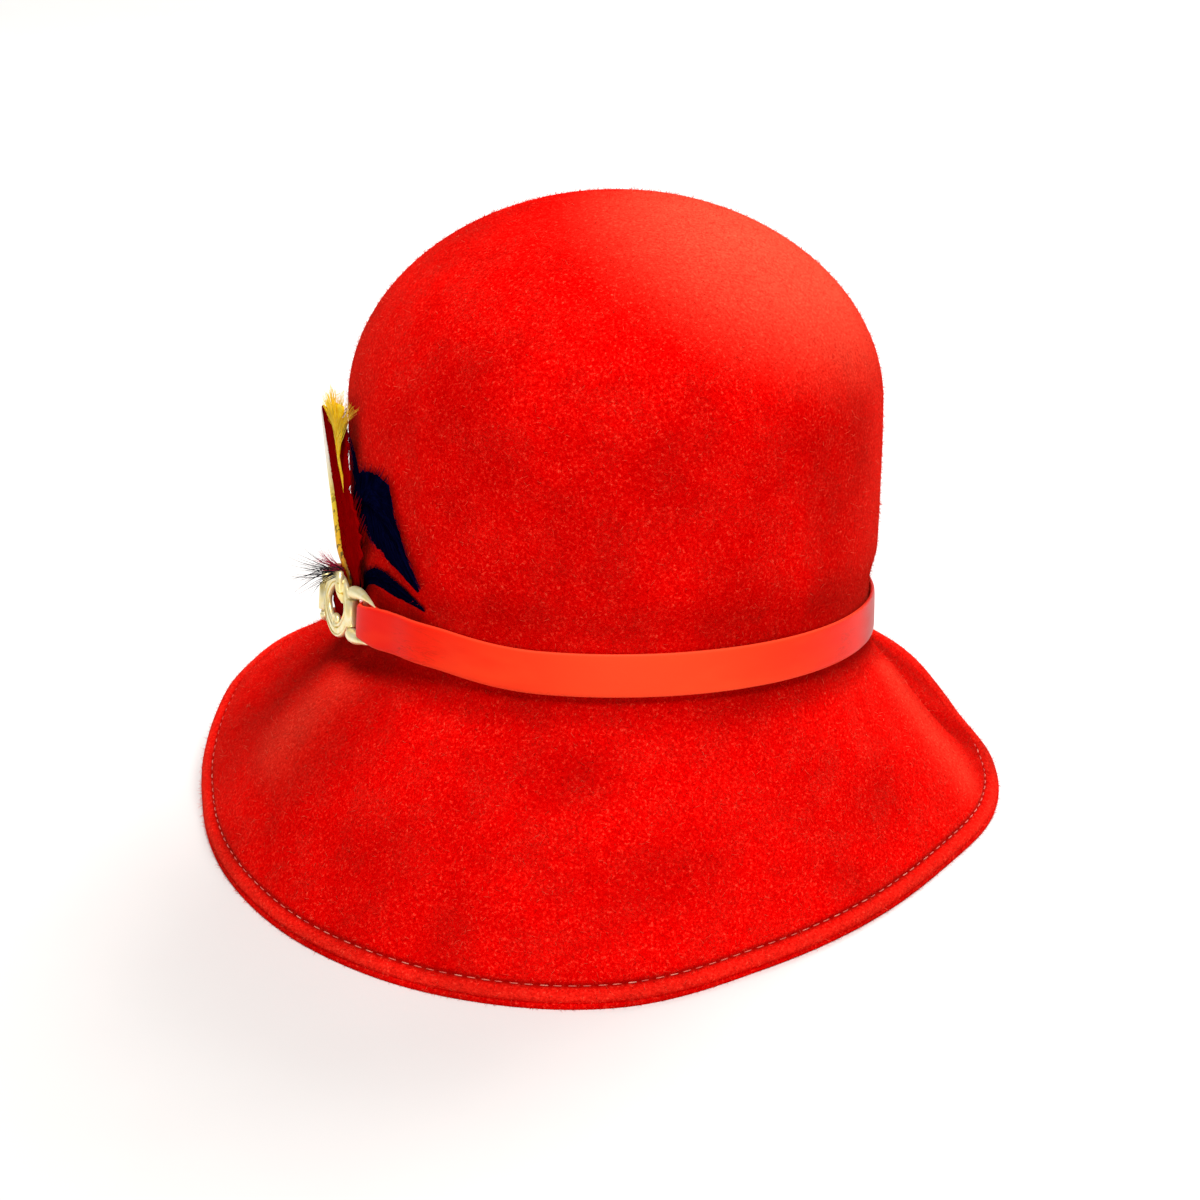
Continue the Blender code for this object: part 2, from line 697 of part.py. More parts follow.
def make_centre_link(collection, cutters, finish, crown):
    """The eye plate, its knob and curl, and a rolled barrel at each end with a bore for the ring's bar."""
    place = lean_by(1) @ LINK_FRAME
    bore_radius = RING_BAR_RADIUS + BAR_CLEARANCE
    barrel_radius = bore_radius + BARREL_WALL
    outlines = [
        oval(LINK_LENGTH - 0.2 * barrel_radius, LINK_HEIGHT, 2.3, 32, 0.28),
        oval(EYE_LENGTH, EYE_HEIGHT, 2.0, 24, 0.35)[::-1],
    ]
    link = flat_outline("centre_link", outlines, LINK_THICKNESS, collection, finish, crown, place)
    joined = []
    bores = []
    for way, label in ((1, "front"), (-1, "rear")):
        at = place @ Matrix.Translation((way * LINK_LENGTH / 2, 0, 0))
        joined.append(cylinder(f"barrel_{label}", barrel_radius, BARREL_LENGTH, cutters, crown, at))
        bores.append(cylinder(f"bore_{label}", bore_radius, BARREL_LENGTH * 1.5, cutters, crown, at))
    bm = bmesh.new()
    bmesh.ops.create_uvsphere(bm, u_segments=12, v_segments=8, radius=KNOB_RADIUS)
    knob = object_from(bm, "knob", cutters, None, crown)
    spot = (LINK_LENGTH * KNOB_ALONG, LINK_HEIGHT * KNOB_UP, LINK_THICKNESS / 2)
    knob.matrix_local = place @ Matrix.Translation(spot)
    return combine(link, joined + [knob, make_curl(cutters, crown, place)], bores)


def make_curl(cutters, crown, place):
    """The small scroll that rises from the eye's lower edge."""
    steps = 12
    foot = -EYE_HEIGHT / 2 - 1.5 * CURL_WIRE_RADIUS
    points = []
    for i in range(steps + 1):
        angle = math.radians(-100 + 270 * i / steps)
        reach = CURL_RADIUS * (1 - 0.45 * i / steps)
        x = EYE_LENGTH * CURL_ALONG - reach * math.cos(angle)
        points.append((x, foot + CURL_RADIUS + reach * math.sin(angle), CURL_WIRE_RADIUS))
    return wire("curl", points, "POLY", cutters, crown, place)


def read_at(rows, column, share):
    """A column read at a share, with straight steps between the rows."""
    for row, following in zip(rows, rows[1:]):
        if share <= following["share"]:
            step = (share - row["share"]) / (following["share"] - row["share"])
            return row[column] + (following[column] - row[column]) * step
    return rows[-1][column]


def feather_sheet(shape, rows=14, columns=4):
    """The feather's middle surface as a grid in the crown's frame, following the crown's side."""
    base, bend, tip = (Vector(shape[key]) for key in ("base", "bend", "tip"))
    outline = OUTLINES[shape["outline"]]
    grid = []
    for i in range(rows + 1):
        share = i / rows
        middle = base.lerp(bend, share).lerp(bend.lerp(tip, share), share)
        way = (bend - base).lerp(tip - bend, share).normalized()
        right = Vector((way.y, -way.x))
        left_reach = -shape["left"] * read_at(outline, "left", share)
        right_reach = shape["right"] * read_at(outline, "right", share)
        row = []
        for j in range(columns + 1):
            reach = left_reach + (right_reach - left_reach) * j / columns
            place = middle + right * reach
            lift = shape["lift"] * share**2 * (1 - max(0.0, reach) / shape["right"])
            off = shape["off"] + lift + FEATHER_THICKNESS / 2
            row.append(crown_point(turn_at(place.x), place.y, off))
        grid.append(row)
    return grid


def make_feather(name, shape, collection, finish, crown):
    grid = feather_sheet(shape)
    bm = bmesh.new()
    rows = [[bm.verts.new(point) for point in row] for row in grid]
    for lower, upper in zip(rows, rows[1:]):
        for j in range(len(lower) - 1):
            bm.faces.new((lower[j], lower[j + 1], upper[j + 1], upper[j]))
    feather = object_from(bm, name, collection, finish, crown)
    wall = feather.modifiers.new("thickness", "SOLIDIFY")
    wall.thickness = FEATHER_THICKNESS
    wall.offset = 0
    return feather


def make_feather_tuft(collection, cutters, finish, crown):
    """The wrapped root close behind the link, with short tapered wisps standing out of its top."""
    depth = LINK_THICKNESS / 2 + FEATHER_GAP + ROOT_THICKNESS / 2
    place = lean_by(1) @ LINK_FRAME @ Matrix.Translation((ROOT_SHIFT, ROOT_RISE, -depth))
    bm = bmesh.new()
    bmesh.ops.create_uvsphere(
        bm, u_segments=16, v_segments=10, radius=0.5,
        matrix=Matrix.Diagonal((ROOT_LENGTH, ROOT_HEIGHT, ROOT_THICKNESS, 1)),
    )
    tuft = object_from(bm, "feather_tuft", collection, finish, crown)
    tuft.matrix_local = place
    wisps = []
    for i, row in enumerate(WISPS):
        way = Vector((row["along"], row["up"], 1)).normalized()
        length = WISP_LENGTH * row["length"]
        foot = Vector((ROOT_LENGTH * row["foot"], ROOT_HEIGHT * WISP_FOOT, 0))
        bm = bmesh.new()
        bmesh.ops.create_cone(
            bm, cap_ends=True, segments=6, radius1=WISP_RADIUS, radius2=WISP_RADIUS * 0.2, depth=length,
            matrix=Matrix.Translation((0, 0, length / 2 - WISP_RADIUS)),
        )
        wisp = object_from(bm, f"wisp_{i}", cutters, None, crown)
        aim = Vector((0, 0, 1)).rotation_difference(way).to_matrix().to_4x4()
        wisp.matrix_local = place @ Matrix.Translation(foot) @ aim
        wisps.append(wisp)
    return combine(tuft, wisps, [])


def footprint_centre():
    """The middle of the brim's edge on the floor, which becomes the origin."""
    points = [edge_point(math.tau * i / AROUND) for i in range(AROUND)]
    across = [point.x for point in points]
    deep = [point.y for point in points]
    return Vector((min(across) + max(across), min(deep) + max(deep), 0)) / 2


def main():
    clear_scene()
    hat_parts = make_collection("cloche_hat")
    cutters = make_collection("cutters")

    hat = bpy.data.objects.new("hat_frame", None)
    hat.location = -footprint_centre()
    hat_parts.objects.link(hat)
    crown = bpy.data.objects.new("crown_frame", None)
    crown.matrix_local = CROWN_FRAME
    crown.parent = hat
    hat_parts.objects.link(crown)

    felt = material("red felt", (0.62, 0.01, 0.006), 0.95)
    leather = material("red leather", (0.80, 0.03, 0.015), 0.35)
    gilt = material("pale gilt", (0.95, 0.80, 0.38), 0.2, 1.0)
    dark_feather = material("dark feather", (0.02, 0.01, 0.02), 0.7)

    make_felt_body(hat_parts, felt, hat)
    make_leather_strap(hat_parts, leather, crown)
    make_centre_link(hat_parts, cutters, gilt, crown)
    make_ring("ring_front", FRONT_BARREL, FRONT_BAR, 1, hat_parts, cutters, gilt, crown)
    make_ring("ring_rear", REAR_BARREL, REAR_BAR, -1, hat_parts, cutters, gilt, crown)
    for name, shape in FEATHERS.items():
        make_feather(name, shape, hat_parts, material(name, shape["colour"], 0.6), crown)
    make_feather_tuft(hat_parts, cutters, dark_feather, crown)


main()
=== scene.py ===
import json
import math

import bmesh
import bpy
import numpy as np
from mathutils import Matrix, Vector, noise
from mathutils.bvhtree import BVHTree

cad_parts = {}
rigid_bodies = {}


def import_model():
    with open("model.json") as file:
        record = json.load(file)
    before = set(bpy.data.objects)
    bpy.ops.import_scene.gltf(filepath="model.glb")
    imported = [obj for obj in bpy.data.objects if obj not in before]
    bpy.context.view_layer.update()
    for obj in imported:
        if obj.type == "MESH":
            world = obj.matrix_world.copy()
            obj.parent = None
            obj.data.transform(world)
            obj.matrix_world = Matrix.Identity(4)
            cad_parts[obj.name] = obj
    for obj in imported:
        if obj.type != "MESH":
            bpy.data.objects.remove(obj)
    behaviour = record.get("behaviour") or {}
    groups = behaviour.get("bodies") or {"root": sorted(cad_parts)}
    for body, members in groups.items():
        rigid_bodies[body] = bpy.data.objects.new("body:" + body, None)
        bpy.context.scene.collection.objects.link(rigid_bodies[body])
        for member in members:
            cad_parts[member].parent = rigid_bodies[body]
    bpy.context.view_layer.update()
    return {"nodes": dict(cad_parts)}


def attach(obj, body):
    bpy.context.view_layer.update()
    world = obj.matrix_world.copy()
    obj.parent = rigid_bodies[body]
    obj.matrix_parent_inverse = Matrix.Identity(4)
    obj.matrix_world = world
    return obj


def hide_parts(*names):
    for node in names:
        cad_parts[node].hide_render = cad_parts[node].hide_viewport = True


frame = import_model()
print("frame loaded:", ", ".join(sorted(frame["nodes"])))


# Small tools

def smooth(x):
    x = np.clip(x, 0, 1)
    return x * x * (3 - 2 * x)


def bump(x, spread):
    return np.exp(-((x / spread) ** 2))


def unit(v):
    return v / np.linalg.norm(v, axis=-1, keepdims=True)


def between(before, first, second, after, t):  # a smooth curve from the first value to the second
    return 0.5 * (2 * first + (second - before) * t + (2 * before - 5 * first + 4 * second - after) * t**2
                  + (3 * first - before - 3 * second + after) * t**3)


def closedCurve(knots, azimuth):  # smooth curve through values given round the hat, in degrees
    places, values = np.array(list(knots)), np.array(list(knots.values()))
    azimuth = np.mod(azimuth, 360)
    i = np.searchsorted(places, azimuth, side="right") - 1
    following = (i + 1) % len(places)
    end = places[following] + np.where(following == 0, 360, 0)
    t = (azimuth - places[i]) / (end - places[i])
    return between(values[i - 1], values[i], values[following], values[(i + 2) % len(places)], t)


def openCurve(knots, steps):  # smooth path through points, with the same number of steps between each two
    points = np.array(knots, float)
    ends = np.vstack([2 * points[0] - points[1], points, 2 * points[-1] - points[-2]])
    path = []
    for i in range(len(points) - 1):
        path += [between(*ends[i:i + 4], t) for t in np.arange(steps) / steps]
    return np.array(path + [points[-1]])


def unevenness(points, scale):  # soft noise in -1 to 1 at each point
    flat = points.reshape(-1, 3) * scale
    return np.array([noise.noise(p) for p in flat]).reshape(points.shape[:-1])


def meshObject(name, points, faces, finish=None, smoothed=True):
    mesh = bpy.data.meshes.new(name)
    mesh.from_pydata([tuple(p) for p in points], [], [tuple(f) for f in faces])
    mesh.update()
    bm = bmesh.new()
    bm.from_mesh(mesh)
    bmesh.ops.recalc_face_normals(bm, faces=bm.faces)
    bm.to_mesh(mesh)
    bm.free()
    if smoothed:
        mesh.shade_smooth()
    if finish:
        mesh.materials.append(finish)
    made = bpy.data.objects.new(name, mesh)
    bpy.context.scene.collection.objects.link(made)
    return made


def gridFaces(rows, columns, start=0, closedRound=True):
    faces = []
    for i in range(rows - 1):
        for j in range(columns if closedRound else columns - 1):
            k = (j + 1) % columns
            a, b = start + i * columns, start + (i + 1) * columns
            faces.append((a + j, b + j, b + k, a + k))
    return faces


def tube(path, radii, sides=16, flat=1.0, facing=None, cap=3):  # closed tube with rounded ends along a path
    path, radii = np.array(path, float), np.array(radii, float)
    ahead = unit(path[1] - path[0])
    behind = unit(path[-1] - path[-2])
    turns = np.sin(np.arange(1, cap) / cap * math.pi / 2)
    lead = [path[0] - ahead * radii[0] * math.sqrt(1 - r * r) for r in turns]
    tail = [path[-1] + behind * radii[-1] * math.sqrt(1 - r * r) for r in turns[::-1]]
    line = np.vstack([*lead, path, *tail]) if cap > 1 else path
    sizes = np.concatenate([radii[0] * turns, radii, radii[-1] * turns[::-1]]) if cap > 1 else radii
    way = unit(np.gradient(line, axis=0))
    side = np.cross(way[0], facing if facing is not None else (0.3, 0.2, 0.93))
    points = []
    for p, w, r in zip(line, way, sizes):
        if facing is not None:
            side = np.cross(w, facing)
        side = side - w * np.dot(side, w)
        side = side / np.linalg.norm(side)
        up = np.cross(side, w)
        for j in range(sides):
            angle = math.tau * j / sides
            points.append(p + side * r * math.cos(angle) + up * r * flat * math.sin(angle))
    faces = gridFaces(len(line), sides)
    first, last = len(points), len(points) + 1
    points += [path[0] - ahead * radii[0], path[-1] + behind * radii[-1]]
    top = (len(line) - 1) * sides
    for j in range(sides):
        k = (j + 1) % sides
        faces += [(first, k, j), (last, top + j, top + k)]
    return np.array(points), faces


def moved(shell, matrix):
    points, faces = shell
    m = np.array(matrix)
    return np.asarray(points) @ m[:3, :3].T + m[:3, 3], faces


def plain(obj):  # the evaluated object as a plain mesh, with no modifiers left
    graph = bpy.context.evaluated_depsgraph_get()
    mesh = bpy.data.meshes.new_from_object(obj.evaluated_get(graph), preserve_all_data_layers=True,
                                           depsgraph=graph)
    obj.modifiers.clear()
    obj.data = mesh
    mesh.name = obj.name
    return obj


def uniteAll(name, shells, finish):  # joins closed shells into one solid
    base, *others = [meshObject(f"{name}_{i}", *shell) for i, shell in enumerate(shells)]
    for other in others:
        join = base.modifiers.new("join", "BOOLEAN")
        join.operation = "UNION"
        join.object = other
    plain(base)
    for other in others:
        bpy.data.objects.remove(other)
    base.name = base.data.name = name
    base.data.shade_smooth()
    base.data.materials.clear()
    base.data.materials.append(finish)
    return base


def keep(piece, name, values, kind="FLOAT", domain="POINT"):  # a number or a vector for each point or face
    field = "vector" if kind == "FLOAT_VECTOR" else "value"
    piece.data.attributes.new(name, kind, domain).data.foreach_set(field, np.ravel(values))


def keepUv(piece, name, places):  # a UV map from one place for each point
    layer = piece.data.uv_layers.new(name=name)
    for corner in piece.data.loops:
        layer.data[corner.index].uv = places[corner.vertex_index]


def putOn(piece, slot, *nodes):
    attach(piece, "root")
    if nodes:
        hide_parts(*nodes)
    return piece


# Node helpers

def put(tree, kind, inputs=None, **settings):
    node = tree.nodes.new(kind)
    for key, value in settings.items():
        setattr(node, key, value)
    for key, value in (inputs or {}).items():
        socket = next(s for s in node.inputs if s.name == key and s.enabled)
        if isinstance(value, bpy.types.NodeSocket):
            tree.links.new(value, socket)
        else:
            socket.default_value = value
    return node


def out(node, name=None):
    return next(s for s in node.outputs if s.enabled and name in (None, s.name))


def finishOf(name, base, roughness, **fixed):  # a Principled material, its tree and its Object coordinates
    made = bpy.data.materials.new(name)
    made.use_nodes = True
    tree = made.node_tree
    shader = tree.nodes["Principled BSDF"]
    shader.inputs["Base Color"].default_value = (*base, 1)
    shader.inputs["Roughness"].default_value = roughness
    for key, value in fixed.items():
        socket = shader.inputs[key.replace("_", " ")]
        socket.default_value = (*value, 1) if isinstance(value, tuple) else value
    return made, tree, shader, out(put(tree, "ShaderNodeTexCoord"), "Object")


def cloud(tree, where, scale, detail=3.0, roughness=0.6, distortion=0.0):
    return out(put(tree, "ShaderNodeTexNoise", {
        "Vector": where, "Scale": scale, "Detail": detail, "Roughness": roughness, "Distortion": distortion}))


def stretched(tree, where, scale, turn=(0, 0, 0)):
    return out(put(tree, "ShaderNodeMapping", {"Vector": where, "Scale": scale, "Rotation": turn}))


def ramp(tree, factor, *stops):
    node = put(tree, "ShaderNodeValToRGB", {"Fac": factor})
    while len(node.color_ramp.elements) < len(stops):
        node.color_ramp.elements.new(0.5)
    for element, (place, colour) in zip(node.color_ramp.elements, stops):
        element.position = place
        element.color = (*colour, 1) if isinstance(colour, tuple) else (colour, colour, colour, 1)
    return out(node, "Color")


def mixed(tree, factor, a, b, kind="MIX"):
    a, b = [(*c, 1) if isinstance(c, tuple) else c for c in (a, b)]
    return out(put(tree, "ShaderNodeMix", {"Factor": factor, "A": a, "B": b}, data_type="RGBA",
                   blend_type=kind))


def calc(tree, operation, a, b=0.0):
    node = put(tree, "ShaderNodeMath", operation=operation)
    for socket, value in zip(node.inputs, (a, b)):
        if isinstance(value, bpy.types.NodeSocket):
            tree.links.new(value, socket)
        else:
            socket.default_value = value
    return node.outputs[0]


def stored(tree, name):  # a number kept on the mesh
    return out(put(tree, "ShaderNodeAttribute", attribute_name=name), "Fac")


def tinted(tree, colour, factor, share, target):  # a colour moved towards another by a share of a factor
    return mixed(tree, calc(tree, "MULTIPLY", factor, share), colour, target)


def paint(tree, shader, colour, roughness=None):
    tree.links.new(colour, shader.inputs["Base Color"])
    if roughness is not None:
        tree.links.new(roughness, shader.inputs["Roughness"])


def bumped(tree, shader, height, strength, distance):
    node = put(tree, "ShaderNodeBump", {"Height": height, "Strength": strength, "Distance": distance})
    tree.links.new(node.outputs[0], shader.inputs["Normal"])


# Camera, floor and light

studio = {"worldStrength": 0.24, "floorSize": 5.0, "lampsAim": 0.07}  # the lamps' aim is a height
view = {"aim": (0.0001, -0.0094, 0.070), "elevation": 24.0, "distance": 0.900, "lens": 83.7}

camera = bpy.data.objects.new("camera", bpy.data.cameras.new("camera"))
camera.data.lens = view["lens"]
camera.data.sensor_width = 36
tilt = math.radians(view["elevation"])
back = Vector((0, -math.cos(tilt), math.sin(tilt)))
camera.location = Vector(view["aim"]) + back * view["distance"]
camera.rotation_euler = back.to_track_quat("Z", "Y").to_euler()
bpy.context.scene.collection.objects.link(camera)
bpy.context.scene.camera = camera
bpy.context.scene.view_settings.view_transform = "Standard"

lamps = {  # kind, place, size (or the sun's spread in degrees), strength, colour
    "softSun": ("SUN", (0.06, -0.32, 1.0), 24, 3.25, (1.0, 0.98, 0.95)),
    "glossLamp": ("AREA", (-0.05, -1.2, 0.25), 0.35, 1.8, (1.0, 0.95, 0.88)),
    "topLamp": ("AREA", (0.45, 0.75, 1.05), 0.6, 14.0, (1.0, 0.97, 0.94)),
}
for lampName, (kind, place, size, strength, colour) in lamps.items():
    lamp = bpy.data.objects.new(lampName, bpy.data.lights.new(lampName, kind))
    if kind == "SUN":
        lamp.data.angle = math.radians(size)
    else:
        lamp.data.size = size
    lamp.data.energy = strength
    lamp.data.color = colour
    lamp.location = place
    away = Vector(place) - Vector((0, 0, studio["lampsAim"]))
    lamp.rotation_euler = away.to_track_quat("Z", "Y").to_euler()
    bpy.context.scene.collection.objects.link(lamp)

world = bpy.data.worlds.new("studio")
world.use_nodes = True
backdrop = world.node_tree.nodes["Background"]
backdrop.inputs["Color"].default_value = (1, 1, 1, 1)
backdrop.inputs["Strength"].default_value = studio["worldStrength"]
bpy.context.scene.world = world

floorFinish, floorTree, floorShader, floorWhere = finishOf("paleFloor", (0.69, 0.69, 0.69), 0.8)
floorTint = ramp(floorTree, cloud(floorTree, floorWhere, 9), (0.3, (0.68, 0.68, 0.68)),
                 (0.7, (0.70, 0.70, 0.70)))
paint(floorTree, floorShader, floorTint)
floorCorners = [(x * studio["floorSize"], y * studio["floorSize"], 0)
                for x, y in ((-1, -1), (1, -1), (1, 1), (-1, 1))]
floor = meshObject("floor", floorCorners, [(0, 1, 2, 3)], floorFinish, smoothed=False)
if floor.data.polygons[0].normal.z < 0:
    floor.data.flip_normals()
print("camera, floor and lights made")


# The shape of the hat, shared by every piece on it

crown = {
    "halfWidth": 0.0855, "halfLength": 0.1020, "height": 0.1435, "widest": 0.078, "taper": 0.0014,
    "pinch": 0.0021, "pinchFade": 0.012, "domePower": 1.95, "lean": math.radians(11), "breakHeight": 0.055,
    "foot": (0.005105, -0.001433),  # where the crown's axis meets the floor plan
}
brim = {
    "reach": 0.150, "lift": 0.010, "belly": 0.005, "foldHeight": 0.003, "foldStarts": 0.2, "foldEnds": 0.3,
    "dentDepth": 0.0016, "hem": 0.008, "press": 0.0011,
    "reachAt": {0: 0.947, 20: 0.857, 40: 0.810, 60: 0.803, 80: 0.850, 95: 0.862, 110: 0.850, 130: 0.905,
                150: 0.973, 180: 0.973, 205: 1.0, 230: 0.993, 250: 0.957, 265: 0.933, 280: 0.920,
                300: 0.933, 320: 0.955, 340: 0.967},
    "liftAt": {0: 0, 20: 0, 40: 0, 60: 0, 80: 0, 95: 0.1, 110: 0.4, 130: 0.8, 150: 0.5, 180: 0, 205: 0.3,
               230: 1.0, 250: 1.0, 265: 0.4, 280: 0, 300: 0, 320: 0, 340: 0},
    "bellyAt": {0: 0.4, 60: 0.1, 82: -0.5, 112: -0.2, 180: 0.4, 240: 0.8, 270: 1.0, 300: 0.8},
    # azimuth, spread, start and end down the slope, rise
    "folds": [(292, 11, 0.05, 0.75, 1.0), (268, 10, 0.10, 0.80, -0.8), (82, 8, 0.0, 0.95, 1.1),
              (99, 9, 0.05, 0.85, -1.3), (150, 14, 0.15, 0.90, 0.5), (215, 14, 0.15, 0.90, 0.5)],
    # azimuth, spread, place down the slope, its spread, depth
    "dents": [(353, 9, 0.22, 0.16, 1.0), (318, 12, 0.62, 0.20, 0.8), (6, 12, 0.58, 0.18, 0.7),
              (52, 13, 0.60, 0.20, 0.9), (184, 20, 0.50, 0.25, 0.8)],
}
strap = {
    "width": 0.013, "thickness": 0.0016, "height": 0.011, "rise": 0.0035, "gap": 0.0004, "turnBack": 0.022,
    "endWidth": 0.0106, "taper": 0.012, "settle": 0.0176, "riseStarts": math.radians(63),
    "riseEnds": math.radians(26), "steps": 260, "loopSteps": 18,
    "tuck": 0.0009,  # how far the turned-back ends draw in behind the strap
    "sides": 28, "squareWide": 0.28, "squareThick": 0.62,  # the section, and how square it is each way
    # the tints: a painted highlight across the strap's front, a lighter colour on its edges, and a painted
    # shade round its right end
    "tints": {"sunned": (0.5, (1.0, 0.12, 0.035)), "edge": (0.4, (1.0, 0.10, 0.04)),
              "dull": (0.8, (0.40, 0.0, 0.0))},
}

shift = np.array([*crown["foot"], 0.0])
crownMatrix = Matrix.Translation((*crown["foot"], crown["breakHeight"]))
crownMatrix = crownMatrix @ Matrix.Rotation(-crown["lean"], 4, "X")
crownTurn, crownPlace = np.array(crownMatrix.to_3x3()), np.array(crownMatrix.translation)


def fromCrown(points):  # out of the crown's own leaning frame
    return np.asarray(points) @ crownTurn.T + crownPlace


def crownRadii(height):
    strapTop = strap["height"] + strap["rise"] + strap["width"] / 2
    inset = crown["taper"] * (1 - smooth(height / crown["widest"]))
    inset = inset + crown["pinch"] * (1 - smooth((height - strapTop) / crown["pinchFade"]))
    share = np.clip((height - crown["widest"]) / (crown["height"] - crown["widest"]), 0, 1)
    size = np.sqrt(np.maximum(1 - share ** crown["domePower"], 1e-9))
    low = height <= crown["widest"]
    return [np.where(low, crown[half] - inset, crown[half] * size) for half in ("halfWidth", "halfLength")]


def crownPoint(turn, height, off=0.0):  # turn 0 is the front
    turn, height, off = np.broadcast_arrays(turn, height, off)
    a, b = crownRadii(height)
    across = unit(np.stack([np.sin(turn) / a, -np.cos(turn) / b, np.zeros_like(a)], -1))
    return np.stack([a * np.sin(turn), -b * np.cos(turn), height], -1) + across * off[..., None]


def brimFrame(turn):  # the break, the slope to the edge, and the slope's outward normal
    azimuth = np.degrees(turn)
    direction = np.stack([np.sin(turn), -np.cos(turn), np.zeros_like(turn)], -1)
    edge = direction * (brim["reach"] * closedCurve(brim["reachAt"], azimuth))[..., None] + shift
    edge[..., 2] = brim["lift"] * np.maximum(0, closedCurve(brim["liftAt"], azimuth))
    start = fromCrown(crownPoint(turn, np.zeros_like(turn)))
    slope = edge - start
    outward = unit(np.cross(np.cross(slope, direction), slope))
    return start, slope, outward * np.sign(outward[..., 2:])


def nearby(turn, at, spread):  # 1 at an azimuth in degrees, falling off over a spread
    return bump((np.degrees(turn) - at + 180) % 360 - 180, spread)


def brimSwell(turn, share):
    swell = brim["belly"] * closedCurve(brim["bellyAt"], np.degrees(turn)) * 4 * share * (1 - share)
    for at, spread, near, far, rise in brim["folds"]:
        along = smooth((share - near) / brim["foldStarts"]) * smooth((far - share) / brim["foldEnds"])
        swell = swell + brim["foldHeight"] * rise * along * nearby(turn, at, spread)
    for at, spread, place, height, depth in brim["dents"]:
        swell = swell - brim["dentDepth"] * depth * nearby(turn, at, spread) * bump(share - place, height)
    return swell


# Felt body

felt = {
    # the dark red on the next line is the colour the painted shade turns the felt towards
    "domeRows": 38, "wallRows": 26, "slopeRows": 32, "shadeRed": (0.16, 0.0, 0.0), "puffAt": 0.0042,
    "puffWidth": 0.0024, "slopeEnds": 0.0128,  # from the edge, where the hem's own rows begin
    "hemRows": [0.0115, 0.0102, 0.0092, 0.0086, 0.0081, 0.0077, 0.0074, 0.0071, 0.0067, 0.0061, 0.0052,
                0.0042, 0.0033, 0.0026],  # from the edge
    "underRows": [(0.0033, 2.0), (0.0045, 2.0), (0.0058, 2.0), (0.0068, 2.0), (0.0074, 2.0), (0.0079, 2.0),
                  (0.0082, 1.95), (0.0084, 1.7), (0.0085, 1.3), (0.0087, 1.06), (0.0092, 1.0),
                  (0.0105, 1.0)],  # from the edge, and the depth in walls
    "wall": 0.0022, "around": 420, "domeShare": 0.6, "filletUp": 0.0045, "filletDown": 0.07,
    "stitchLine": 0.0074, "groove": 0.0009, "grooveWidth": 0.0011, "puff": 0.0008,
    "crownLumps": 0.00015, "brimLumps": 0.00045,
    "lowShade": (0.80, 0.058, 0.060),  # strength at the crown's foot, the height it fades from, its spread
    "topShade": (0.55, 0.02, 0.10),  # the same down the brim from the strap, as shares of the slope
    "topHighlight": (0.80, 0.186, 0.034, 0.55),  # painted highlight on the crown's top: strength, start, spread, and how much it favours the right
    # next: the strength of a painted highlight along the hem's roll, and the spread of the painted shade in
    # the stitch groove
    "hemHighlight": 0.14, "grooveShade": 0.0008,
    # azimuth, spread, place down the slope, its spread, strength
    "shades": [(353, 8, 0.20, 0.14, 0.55), (318, 10, 0.62, 0.18, 0.35), (6, 12, 0.58, 0.16, 0.40),
               (52, 12, 0.60, 0.18, 0.35), (96, 9, 0.40, 0.80, 0.95),
               (116, 12, 0.30, 0.90, 0.80), (302, 12, 0.30, 0.40, 0.50), (270, 14, 0.45, 0.50, 0.75)],
    # painted highlight along the fold ridges: azimuth, spread, start and end down the slope, strength
    "wearAndPaintedLight": [(78, 4, 0.04, 0.95, 0.30), (292, 7, 0.05, 0.70, 0.20)],
}


def sharpProfile(turn, s):  # s runs from 0 at the tip through 1 at the break to 2 at the edge
    dome = felt["domeShare"]
    angle = math.pi / 2 * np.clip(s / dome, 0, 1)
    height = np.where(s < dome, crown["widest"] + (crown["height"] - crown["widest"]) * np.cos(angle),
                      crown["widest"] * (1 - (s - dome) / (1 - dome)))
    onCrown = fromCrown(crownPoint(turn, np.maximum(height, 0)))
    start, slope, outward = brimFrame(turn)
    share = np.clip(s - 1, 0, 1)
    onBrim = start + slope * share[..., None] + outward * brimSwell(turn, share)[..., None]
    return np.where((s <= 1)[..., None], onCrown, onBrim)


def feltSurface(turn, s):  # the same, with the break rounded
    near = 1 - (1 - felt["domeShare"]) * felt["filletUp"] / crown["widest"]
    far = 1 + felt["filletDown"]
    t = np.clip((s - near) / (far - near), 0, 1)[..., None]
    ends = [sharpProfile(turn, np.full_like(s, x)) for x in (near, 1.0, far)]
    bent = (1 - t) ** 2 * ends[0] + 2 * t * (1 - t) * ends[1] + t**2 * ends[2]
    return np.where(((s > near) & (s < far))[..., None], bent, sharpProfile(turn, s))


def feltNormal(turn, s):
    down = feltSurface(turn, s + 0.003) - feltSurface(turn, s - 0.003)
    roundWay = feltSurface(turn + 0.006, s) - feltSurface(turn - 0.006, s)
    return unit(np.cross(down, roundWay))


def edgeFrame(turn):  # the folded edge's middle, the way the brim falls, its normal and how far it is raised
    start, slope, outward = brimFrame(turn)
    fall = unit(slope)
    radius = felt["wall"]
    middle = start + slope - (fall + outward) * radius
    drop = (start + slope)[..., 2] - brim["press"] - (middle[..., 2] - radius)
    return middle, fall, outward, drop


